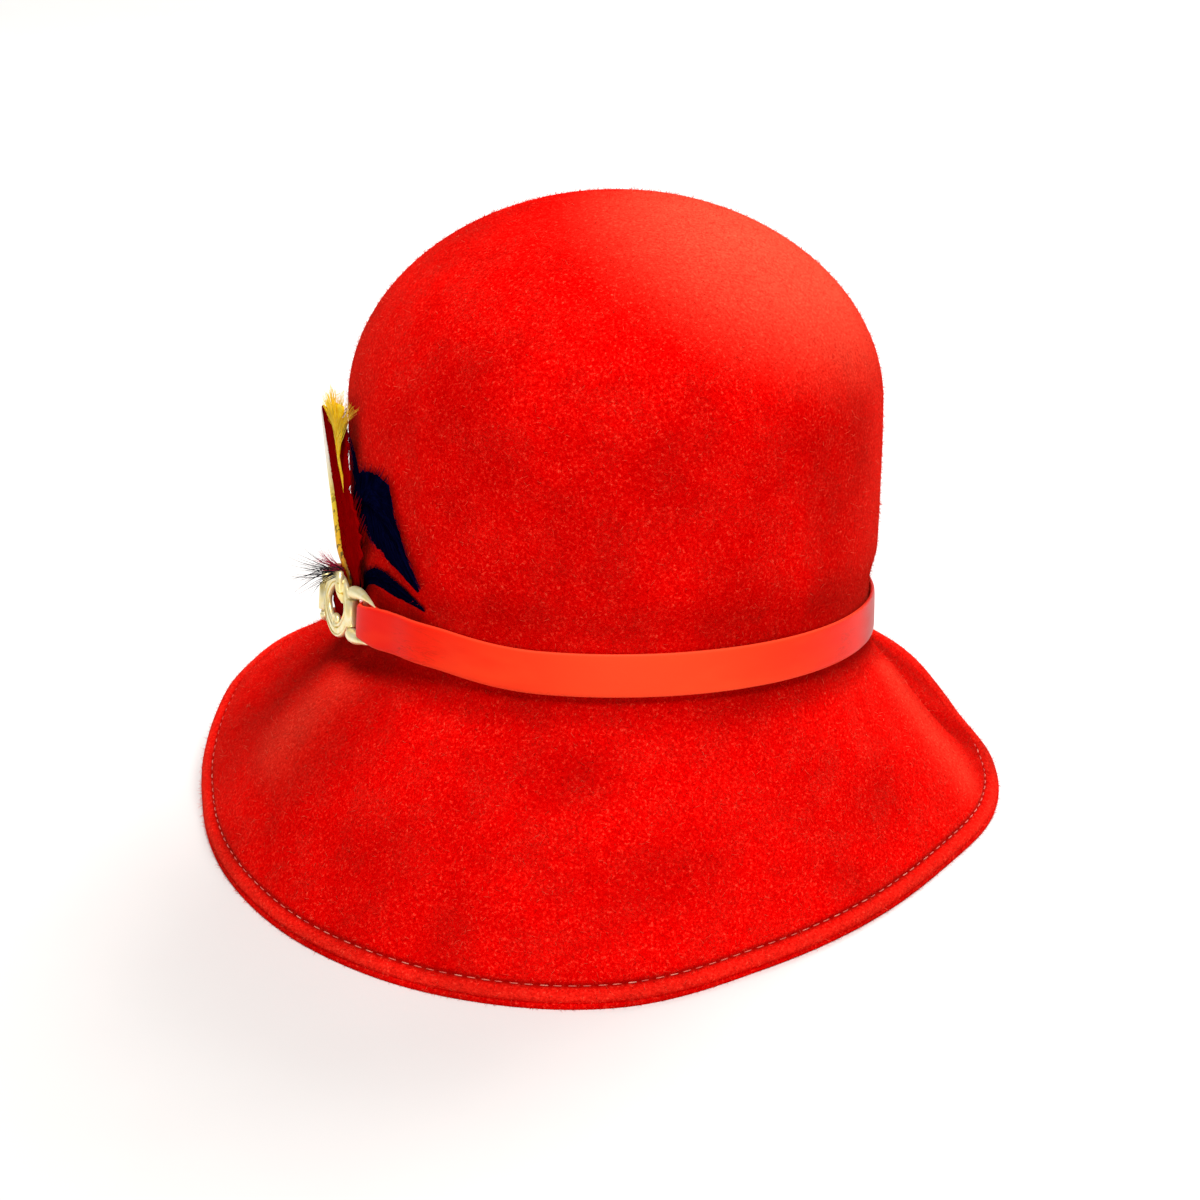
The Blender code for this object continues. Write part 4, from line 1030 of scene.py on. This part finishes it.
ring = {
    "barrelReach": 0.74, "strapReach": 0.93,  # the two bars' lengths as shares of the ring's height
    "clawLength": 0.021, "clawRadius": 0.0020, "clawOff": 0.0005, "lowerShare": 0.88,
    "claw": [  # along, top, bottom, thickness
        (0.0, 0.76, 0.76, 0.60), (0.02, 0.88, 0.86, 0.85), (0.10, 0.99, 0.93, 1.00), (0.26, 1.06, 0.95, 1.02),
        (0.42, 1.09, 0.95, 0.86), (0.62, 1.06, 0.92, 0.56), (0.83, 0.98, 0.89, 0.32), (1.0, 0.88, 0.86, 0.10),
    ],
}
link = {
    "eyeLength": 0.0156, "eyeHeight": 0.0122, "barrelWall": 0.0008, "barrelLength": 0.0085,
    "thickness": 0.0016, "around": 160, "knob": (0.19, 0.36), "barrelEase": 0.00015,
    "eyeRule": (2.0, 0.35), "rimRule": (2.3, 0.28),  # the oval's power and how far it is waisted
    "section": [  # the share from the eye to the rim, and the height as a share of half the thickness
        (0.0, 0.1), (0.02, 0.70), (0.07, 1.00), (0.15, 1.12), (0.21, 1.05), (0.245, 0.80), (0.27, 0.52),
        (0.30, 0.50), (0.325, 0.80), (0.38, 1.02), (0.46, 1.00), (0.60, 0.90), (0.70, 0.92), (0.74, 0.72),
        (0.765, 0.55), (0.79, 0.72), (0.84, 1.00), (0.91, 0.95), (0.97, 0.60), (1.0, 0.1),
    ],
    "underside": [(0.98, -0.75), (0.93, -1.0), (0.5, -1.0), (0.07, -1.0), (0.02, -0.75)],
    "grooves": ((0.25, 0.315), (0.745, 0.785)),
    "thumb": [(0.0008, -0.0046, -0.0004, 0.0007), (0.0004, -0.0024, 0.0003, 0.0012), (0, 0.0, 0.0007, 0.0014),
              (-0.0002, 0.0022, 0.0006, 0.0013), (-0.0009, 0.0038, 0.0003, 0.0011)],  # place and radius
    "curlRadius": 0.0022, "curlWire": 0.0009, "curlSteps": 36, "curlSink": 0.00135,
}


def giltFinish():
    made, tree, shader, where = finishOf("paleGilt", (1.0, 0.88, 0.50), 0.36, Metallic=0.55)
    tone = cloud(tree, where, 420, 3, 0.6)
    scratch = cloud(tree, stretched(tree, where, (300, 300, 2600), (0.2, 0.3, 0.0)), 1.0, 4, 0.7)
    colour = ramp(tree, tone, (0.30, (1.0, 0.80, 0.30)), (0.52, (1.0, 0.90, 0.50)), (0.72, (1.0, 0.96, 0.70)))
    colour = tinted(tree, colour, stored(tree, "hollow"), 0.9, (0.72, 0.50, 0.005))
    paint(tree, shader, colour, ramp(tree, scratch, (0.35, 0.30), (0.7, 0.46)))
    bumped(tree, shader, calc(tree, "ADD", scratch, tone), 0.12, 0.0001)
    return made


gilt = giltFinish()


def turnedRings(profile, sides):  # rings round the Y axis, from rows of place and radius
    return [(r * math.cos(math.tau * j / sides), y, r * math.sin(math.tau * j / sides))
            for y, r in profile for j in range(sides)]


def rod(radius, length, matrix, sides=24):  # a cylinder along its own Y with eased edges
    half = length / 2
    ease = 0.15 * radius
    profile = [(-half, radius - ease), (-half + ease, radius), (half - ease, radius), (half, radius - ease)]
    faces = gridFaces(4, sides)
    faces += [tuple(range(sides)), tuple(range(3 * sides, 4 * sides))]
    return moved((turnedRings(profile, sides), faces), matrix)


def barrelShell(bore, radius, matrix, sides=28):  # a rolled tube along its own Y
    half = link["barrelLength"] / 2
    ease = link["barrelEase"]
    profile = [(-half, bore), (-half, radius - ease), (-half + ease, radius), (half - ease, radius),
               (half, radius - ease), (half, bore)]
    faces = gridFaces(len(profile), sides)
    last = (len(profile) - 1) * sides
    faces += [(last + j, j, (j + 1) % sides, last + (j + 1) % sides) for j in range(sides)]
    return moved((turnedRings(profile, sides), faces), matrix)


def makeRing(name, innerJoint, outerJoint, way):
    joints = (innerJoint, outerJoint) if way > 0 else (outerJoint, innerJoint)
    place = crownMatrix @ leanBy(1) @ frameBetween(*joints)
    barrelSide = place @ Matrix.Translation((-way * trim["ringLength"] / 2, 0, 0))
    strapSide = place @ Matrix.Translation((way * trim["ringLength"] / 2, 0, 0))
    reach = trim["ringHeight"] * ring["barrelReach"] + trim["barRadius"]
    shells = [rod(trim["barRadius"], reach, barrelSide),
              rod(trim["barRadius"], trim["ringHeight"] * ring["strapReach"], strapSide)]
    for side, column in ((1, 1), (-1, 2)):
        length = ring["clawLength"] * (1 if side > 0 else ring["lowerShare"])
        knots = [(way * length * row[0], side * trim["ringHeight"] / 2 * row[column],
                  ring["clawOff"] * smooth(row[0] * 4), ring["clawRadius"] * row[3]) for row in ring["claw"]]
        path = openCurve(knots, 7)
        shells.append(moved(tube(path[:, :3], path[:, 3], 24, facing=(0, 0, 1), cap=6), barrelSide))
    return uniteAll(name, shells, gilt)


def oval(angle, length, height, power, waist):
    x, y = np.cos(angle), np.sin(angle)
    x = np.sign(x) * np.abs(x) ** (2 / power)
    y = np.sign(y) * np.abs(y) ** (2 / power)
    return np.stack([x * length / 2, y * height / 2 * (1 - waist * x * x)], -1)


def makeLink():
    place = crownMatrix @ leanBy(1) @ linkFrame
    bore = trim["barRadius"] + trim["clearance"]
    barrelRadius = bore + link["barrelWall"]
    angle = math.tau * np.arange(link["around"]) / link["around"]
    eye = oval(angle, link["eyeLength"], link["eyeHeight"], *link["eyeRule"])
    rim = oval(angle, trim["linkLength"] - 0.2 * barrelRadius, trim["linkHeight"], *link["rimRule"])
    half = link["thickness"] / 2
    rows = []
    for share, high in link["section"] + link["underside"]:
        flat = eye + (rim - eye) * share
        rows.append(np.column_stack([flat, np.full(len(flat), half * high)]))
    grid = np.array(rows)
    count = link["around"]
    faces = gridFaces(len(rows), count)
    top = (len(rows) - 1) * count
    faces += [(top + j, j, (j + 1) % count, top + (j + 1) % count) for j in range(count)]
    shells = [moved((grid.reshape(-1, 3), faces), place)]
    for way in (1, -1):
        at = place @ Matrix.Translation((way * trim["linkLength"] / 2, 0, 0))
        shells.append(barrelShell(bore, barrelRadius, at))
    along, up = link["knob"]
    thumb = openCurve(link["thumb"], 6)
    thumbPlace = (trim["linkLength"] * along, trim["linkHeight"] * up - 0.0008, half * 0.9)
    spot = place @ Matrix.Translation(thumbPlace)
    shells.append(moved(tube(thumb[:, :3], thumb[:, 3], 20, cap=6), spot))
    steps, curl = link["curlSteps"], link["curlRadius"]
    foot = -link["eyeHeight"] / 2 - link["curlSink"]
    scroll = []
    for i in range(steps + 1):
        turn = math.radians(-100 + 270 * i / steps)
        reach = curl * (1 - 0.45 * i / steps)
        x, y = link["eyeLength"] * 0.02 - reach * math.cos(turn), foot + curl + reach * math.sin(turn)
        scroll.append((x, y, 0.0003, link["curlWire"] * (0.85 + 0.3 * i / steps)))
    scroll = np.array(scroll)
    shells.append(moved(tube(scroll[:, :3], scroll[:, 3], 16, facing=(0, 0, 1), cap=5), place))
    made = uniteAll("centreLink", shells, gilt)
    inward = np.array(place.inverted())
    local = np.array([v.co for v in made.data.vertices]) @ inward[:3, :3].T + inward[:3, 3]
    bearing = np.arctan2(local[:, 1] / trim["linkHeight"], local[:, 0] / trim["linkLength"])
    inner = np.linalg.norm(oval(bearing, link["eyeLength"], link["eyeHeight"], *link["eyeRule"]), axis=-1)
    outer = np.linalg.norm(oval(bearing, trim["linkLength"], trim["linkHeight"], *link["rimRule"]), axis=-1)
    share = (np.linalg.norm(local[:, :2], axis=-1) - inner) / (outer - inner)
    hollow = sum(((share > low) & (share < high)).astype(float) for low, high in link["grooves"])
    keep(made, "hollow", hollow * (local[:, 2] > 0))
    return made


putOn(makeRing("ringFront", frontBarrel, frontBar, 1), "gilt", "ring_front")
putOn(makeRing("ringRear", rearBarrel, rearBar, -1), "gilt", "ring_rear")
putOn(makeLink(), "gilt", "centre_link")
print("rings and link made")


# Feathers

outlines = {  # share along the feather: half widths left and right, as shares of the widest
    "leaf": {0: (0.12, 0.12), 0.2: (0.50, 0.35), 0.5: (1.0, 0.80), 0.7: (0.80, 1.0), 0.88: (0.40, 0.50),
             1: (0.08, 0.08)},
    "drooping": {0: (0.08, 0.10), 0.25: (0.50, 0.35), 0.5: (0.80, 0.76), 0.6: (0.82, 0.95), 0.7: (1.0, 1.0),
                 0.76: (0.50, 0.90), 0.88: (0.18, 0.60), 1: (0.04, 0.05)},
    "quill": {0: (0.10, 0.05), 0.12: (0.60, 0.24), 0.22: (1.0, 0.56), 0.34: (1.0, 0.96), 0.46: (1.0, 1.0),
              0.58: (0.92, 0.86), 0.74: (0.80, 0.96), 0.86: (0.70, 1.06), 0.93: (0.55, 0.66),
              1: (0.20, 0.05)},
    "fan": {0: (0.03, 0.03), 0.8: (0.05, 0.05), 0.85: (0.17, 0.14), 0.88: (0.42, 0.36), 0.91: (0.75, 0.70),
            0.94: (1.0, 1.0), 1: (0.62, 0.50)},
}
feathers = {  # places are along the strap and up the crown, and lengths in metres
    "navyLower": {
        "look": "navy", "node": "feather_navy_lower", "slot": "feather_navy", "outline": "leaf",
        "base": (0.008, 0.020), "bend": (0.032, 0.0365), "tip": (0.0574, 0.0238), "off": 0.0004, "lift": 0.0,
        "left": 0.0040, "right": 0.0040, "barbs": 150, "sweep": 0.20, "shaft": 0.0004,
    },
    "navyUpper": {
        "look": "navy", "node": "feather_navy_upper", "slot": "feather_navy", "outline": "drooping",
        "base": (0.005, 0.018), "bend": (0.024, 0.080), "tip": (0.0578, 0.0303), "off": 0.0013, "lift": 0.0,
        "left": 0.0145, "right": 0.0130, "barbs": 320, "sweep": 0.16, "shaft": 0.0005,
    },
    "redQuill": {
        "look": "crimson", "node": "feather_red", "slot": "feather_red", "outline": "quill",
        "base": (0.001, 0.006), "bend": (-0.003, 0.040), "tip": (-0.018, 0.075), "off": 0.0027,
        "lift": 0.0055, "left": 0.002, "right": 0.036, "barbs": 460, "sweep": 0.12, "shaft": 0.0,
    },
    "yellowFan": {
        "look": "yellow", "node": "feather_yellow", "slot": "feather_yellow", "outline": "fan",
        "base": (0.005, 0.008), "bend": (0.010, 0.042), "tip": (0.0135, 0.086), "off": 0.0031, "lift": 0.0035,
        "left": 0.011, "right": 0.013, "barbs": 260, "sweep": 0.14, "shaft": 0.0002,
        "tuck": 0.0014, "vane": 0.62, "spray": 340, "sprayFrom": 0.82,
    },
}


def featherPoint(shape, share, reach, over=0.0):  # reach runs from -1 at the left edge to 1 at the right edge
    share, reach = np.broadcast_arrays(np.asarray(share, float), np.asarray(reach, float))
    table = outlines[shape["outline"]]
    lefts = np.interp(share, list(table), [row[0] for row in table.values()]) * shape["left"]
    rights = np.interp(share, list(table), [row[1] for row in table.values()]) * shape["right"]
    base, bend, tip = (np.array(shape[key]) for key in ("base", "bend", "tip"))
    t = share[..., None]
    middle = (1 - t) ** 2 * base + 2 * t * (1 - t) * bend + t**2 * tip
    way = unit((bend - base) * (1 - t) + (tip - bend) * t)
    right = np.stack([way[..., 1], -way[..., 0]], -1)
    wide = np.where(reach < 0, lefts, rights) * reach
    place = middle + right * wide[..., None]
    lift = shape["lift"] * share**2 * (1 - np.maximum(0, wide) / shape["right"])
    lift = lift - shape.get("tuck", 0) * (1 - smooth((share - 0.6) / 0.15))  # a stem behind the red vane
    return fromCrown(crownPoint(turnAt(place[..., 0]), place[..., 1], shape["off"] + lift + 0.0003 + over))


def featherFinish(name, darkest, middle, brightest, gloss):
    made, tree, shader, where = finishOf(name, middle, gloss, Specular_IOR_Level=0.0)
    run = out(put(tree, "ShaderNodeUVMap", uv_map="vane"))
    streaks = cloud(tree, stretched(tree, run, (9, 160, 1), (0, 0, 0.5)), 1.0, 3, 0.6, 0.3)
    patches = cloud(tree, where, 260, 3)
    tone = calc(tree, "ADD", calc(tree, "MULTIPLY", streaks, 0.65), calc(tree, "MULTIPLY", patches, 0.35))
    colour = ramp(tree, tone, (0.34, darkest), (0.5, middle), (0.68, brightest))
    colour = tinted(tree, colour, stored(tree, "shade"), 0.5, brightest)
    paint(tree, shader, colour, ramp(tree, streaks, (0.3, gloss - 0.1), (0.7, gloss + 0.15)))
    bumped(tree, shader, streaks, 0.5, 0.0003)
    return made


def makeVane(name, shape, finish, rows=64, columns=20):
    randoms = np.random.default_rng(11)
    shares = np.linspace(0, 1, rows)
    spread = np.linspace(-1, 1, columns)
    ragged = 0.88 + 0.10 * np.array([noise.noise((s * 38, 1.3, len(name))) for s in shares])
    ragged -= 0.05 * randoms.random(rows)
    ragged *= shape.get("vane", 1)
    shares = shares * (1 - 0.05 * (shape.get("vane", 1) < 1))
    grid = np.array([[featherPoint(shape, s, x * ragged[i]) for x in spread] for i, s in enumerate(shares)])
    down = unit(np.cross(np.gradient(grid, axis=0), np.gradient(grid, axis=1)))
    upper, lower = grid + down * 0.00012, grid - down * 0.00012
    points = np.concatenate([upper.reshape(-1, 3), lower.reshape(-1, 3)])
    size = rows * columns
    faces = gridFaces(rows, columns, closedRound=False)
    faces += [tuple(size + i for i in face[::-1]) for face in gridFaces(rows, columns, closedRound=False)]
    loop = list(range(columns)) + [columns * (i + 1) - 1 for i in range(1, rows)]
    loop += list(range(size - 2, size - columns - 1, -1)) + [columns * i for i in range(rows - 2, 0, -1)]
    faces += [(a, b, size + b, size + a) for a, b in zip(loop, loop[1:] + loop[:1])]
    made = meshObject(name, points, faces, finish)
    uvs = [(shares[i // columns], spread[i % columns]) for i in range(size)] * 2
    keepUv(made, "vane", uvs)
    return made


def barbRows(shape, seed):  # barbs from both sides of the shaft out to a little past the vane's edge
    near, far, past = 0.02, 0.98, 1.05
    randoms = np.random.default_rng(seed)
    rows = []
    count = shape["barbs"]
    for i in range(count):
        side = 1 if i % 2 else -1
        start = near + (far - near) * ((i + randoms.random()) / count)
        end = min(1.0, start + shape["sweep"] * randoms.uniform(0.7, 1.2))
        inner = featherPoint(shape, start, side * randoms.uniform(0.0, 0.45), 0.0002)
        outer = featherPoint(shape, end, side * past * randoms.uniform(0.82, 1.03),
                             0.0002 + 0.0003 * randoms.random())
        above = featherPoint(shape, (start + end) / 2, side * 0.5, 0.003)
        face = above - featherPoint(shape, (start + end) / 2, side * 0.5)
        rows.append((inner, outer - inner, face, np.linalg.norm(outer - inner), randoms.random()))
    return rows


def sprayRows(shape, seed=31):  # fine hairs that fan out from one spot up the feather
    randoms = np.random.default_rng(seed)
    rows = []
    for _ in range(shape["spray"]):
        rootShare = shape["sprayFrom"] + 0.04 * randoms.random()
        root = featherPoint(shape, rootShare, randoms.uniform(-0.6, 0.6), 0.0003)
        reach = randoms.uniform(-1.05, 1.05)
        end = randoms.uniform(0.90, 1.01) - 0.05 * abs(reach)
        tip = featherPoint(shape, end, reach, randoms.uniform(-0.0008, 0.0014))
        face = root - featherPoint(shape, shape["sprayFrom"], 0.0)
        rows.append((root, tip - root, face, np.linalg.norm(tip - root), randoms.random() ** 2))
    return rows


def plumeRows(count=18, seed=37):  # dark hairs that stand up over the upper dark feather
    randoms = np.random.default_rng(seed)
    rows = []
    for _ in range(count):
        along, low = randoms.uniform(0.0215, 0.0250), randoms.uniform(0.054, 0.062)
        high = low + randoms.uniform(0.006, 0.017)
        ends = [fromCrown(crownPoint(turnAt(a), h, 0.0022 + up))
                for a, h, up in ((along, low, 0.0), (along + randoms.uniform(-0.003, 0.0015), high, 0.0009))]
        rows.append((ends[0], ends[1] - ends[0], (0, -1, 0), np.linalg.norm(ends[1] - ends[0]), 0.3))
    return rows


def addTo(piece, others):  # joins objects into the first, keeping their materials
    bpy.ops.object.select_all(action="DESELECT")
    for other in [piece, *others]:
        other.select_set(True)
    bpy.context.view_layer.objects.active = piece
    bpy.ops.object.join()
    piece.select_set(False)
    return piece


featherColours = {  # name, darkest, middle, brightest, gloss
    "navy": ("navyFeather", (0.0003, 0.0002, 0.001), (0.0006, 0.0006, 0.006), (0.002, 0.004, 0.04), 0.8),
    "crimson": ("crimsonFeather", (0.14, 0.0, 0.0003), (0.25, 0.0, 0.0005), (0.38, 0.001, 0.001), 0.7),
    "yellow": ("yellowFeather", (0.90, 0.34, 0.001), (1.0, 0.66, 0.004), (1.0, 0.90, 0.22), 0.7),
    "black": ("blackFeather", (0.002, 0.002, 0.003), (0.010, 0.010, 0.013), (0.08, 0.08, 0.09), 0.6),
    "magenta": ("magentaFluff", (0.25, 0.0, 0.02), (0.45, 0.005, 0.05), (0.75, 0.10, 0.18), 0.6),
}
featherLooks = {look: featherFinish(*row) for look, row in featherColours.items()}
barbShape = strandObject("barb", 1.0, 0.016, 0.10, sides=4, steps=5, flat=0.35)

for key, shape in feathers.items():
    look = featherLooks[shape["look"]]
    vane = makeVane(key, shape, look)
    parts = [strandsAt(key + "Barbs", barbRows(shape, len(key)), barbShape, look)]
    if "spray" in shape:
        parts.append(strandsAt(key + "Spray", sprayRows(shape), barbShape, look))
    if key == "navyUpper":
        parts.append(strandsAt(key + "Plume", plumeRows(), barbShape, look))
    if shape["shaft"]:
        spine = np.array([featherPoint(shape, s, 0.0, 0.0003) for s in np.linspace(0.01, 0.97, 30)])
        thinning = np.linspace(shape["shaft"], 0.0001, 30)
        parts.append(meshObject(key + "Shaft", *tube(spine, thinning, 8), look))
    putOn(addTo(vane, parts), shape["slot"], shape["node"])
print("feathers made")


def shaftFinish():
    made, tree, shader, where = finishOf("quillShaft", (0.95, 0.75, 0.35), 0.35, Coat_Weight=0.3)
    height = out(put(tree, "ShaderNodeSeparateXYZ", {"Vector": where}), "Z")
    share = out(put(tree, "ShaderNodeMapRange", {"Value": height, "From Min": 0.072, "From Max": 0.135}))
    colour = ramp(tree, share, (0.0, (0.85, 0.10, 0.01)), (0.18, (1.0, 0.42, 0.005)),
                  (0.5, (1.0, 0.78, 0.03)), (0.68, (1.0, 0.95, 0.80)), (0.9, (1.0, 0.92, 0.88)),
                  (1.0, (0.35, 0.01, 0.02)))
    speckle = cloud(tree, stretched(tree, where, (700, 700, 260)), 1.0, 3, 0.7)
    spots = ramp(tree, speckle, (0.56, 0.0), (0.60, 1.0))
    low = ramp(tree, share, (0.45, 1.0), (0.58, 0.0))
    paint(tree, shader, tinted(tree, colour, spots, low, (0.20, 0.12, 0.01)))
    bumped(tree, shader, cloud(tree, where, 1500), 0.2, 0.0001)
    return made


quill = feathers["redQuill"]
spine = np.array([featherPoint(quill, s, -0.6, 0.0004) for s in np.linspace(0.05, 1.0, 60)])
widths = np.interp(np.linspace(0, 1, 60), [0, 0.25, 0.5, 0.8, 1], [0.0012, 0.0015, 0.0013, 0.0009, 0.0004])
putOn(meshObject("quillShaft", *tube(spine, widths, 14, cap=5), shaftFinish()), "feather_yellow")


# The wrapped root and its wisps

tuft = {
    "length": 0.015, "height": 0.017, "thickness": 0.0022,
    "shift": -0.0045, "rise": 0.0033, "wispLength": 0.017,
    "wisps": {  # slot, number, seed, lean from and to, length as a share
        "black": ("feather_black", 64, 21, -0.9, 0.8, 1.0),
        "magenta": ("feather_red", 60, 23, 0.6, 1.7, 0.62),
    },
}


def makeTuft():
    depth = link["thickness"] / 2 + 0.0004 + tuft["thickness"] / 2
    place = crownMatrix @ leanBy(1) @ linkFrame @ Matrix.Translation((tuft["shift"], tuft["rise"], -depth))
    turns = Matrix(place).to_3x3()
    up = np.linspace(-1, 1, 26)
    path = np.stack([0 * up, up * tuft["height"] / 2 * 0.96, 0 * up], -1)
    radii = tuft["length"] / 2 * np.sqrt(np.maximum(0.02, 1 - up**2)) * (1 + 0.05 * np.sin(up * 21))
    shell = tube(path, radii, 28, tuft["thickness"] / tuft["length"], (0, 0, 1), 1)
    root = meshObject("featherTuft", *moved(shell, place), featherLooks["crimson"])
    putOn(root, "feather_red", "feather_tuft")
    wisp = strandObject("wisp", 1.0, 0.010, 0.34, sides=4, steps=7, flat=0.8)
    for name, (slot, count, seed, low, high, size) in tuft["wisps"].items():
        randoms = np.random.default_rng(seed)
        rows = []
        for _ in range(count):
            foot = Vector((tuft["length"] * randoms.uniform(-0.22, 0.2),
                           tuft["height"] * randoms.uniform(0.34, 0.47),
                           tuft["thickness"] * randoms.uniform(-0.2, 0.3)))
            way = Vector((randoms.uniform(-0.55, 0.35), randoms.uniform(low, high) * 0.5, 1)).normalized()
            length = tuft["wispLength"] * size * randoms.uniform(0.45, 1.0)
            face = turns @ Vector((randoms.uniform(-1, 1), randoms.uniform(-1, 1), 0))
            rows.append((place @ foot, turns @ way, face, length, randoms.random()))
        putOn(strandsAt(name + "Wisps", rows, wisp, featherLooks[name]), slot)
    bpy.data.objects.remove(wisp)


makeTuft()
bpy.data.objects.remove(barbShape)
print("tuft made")
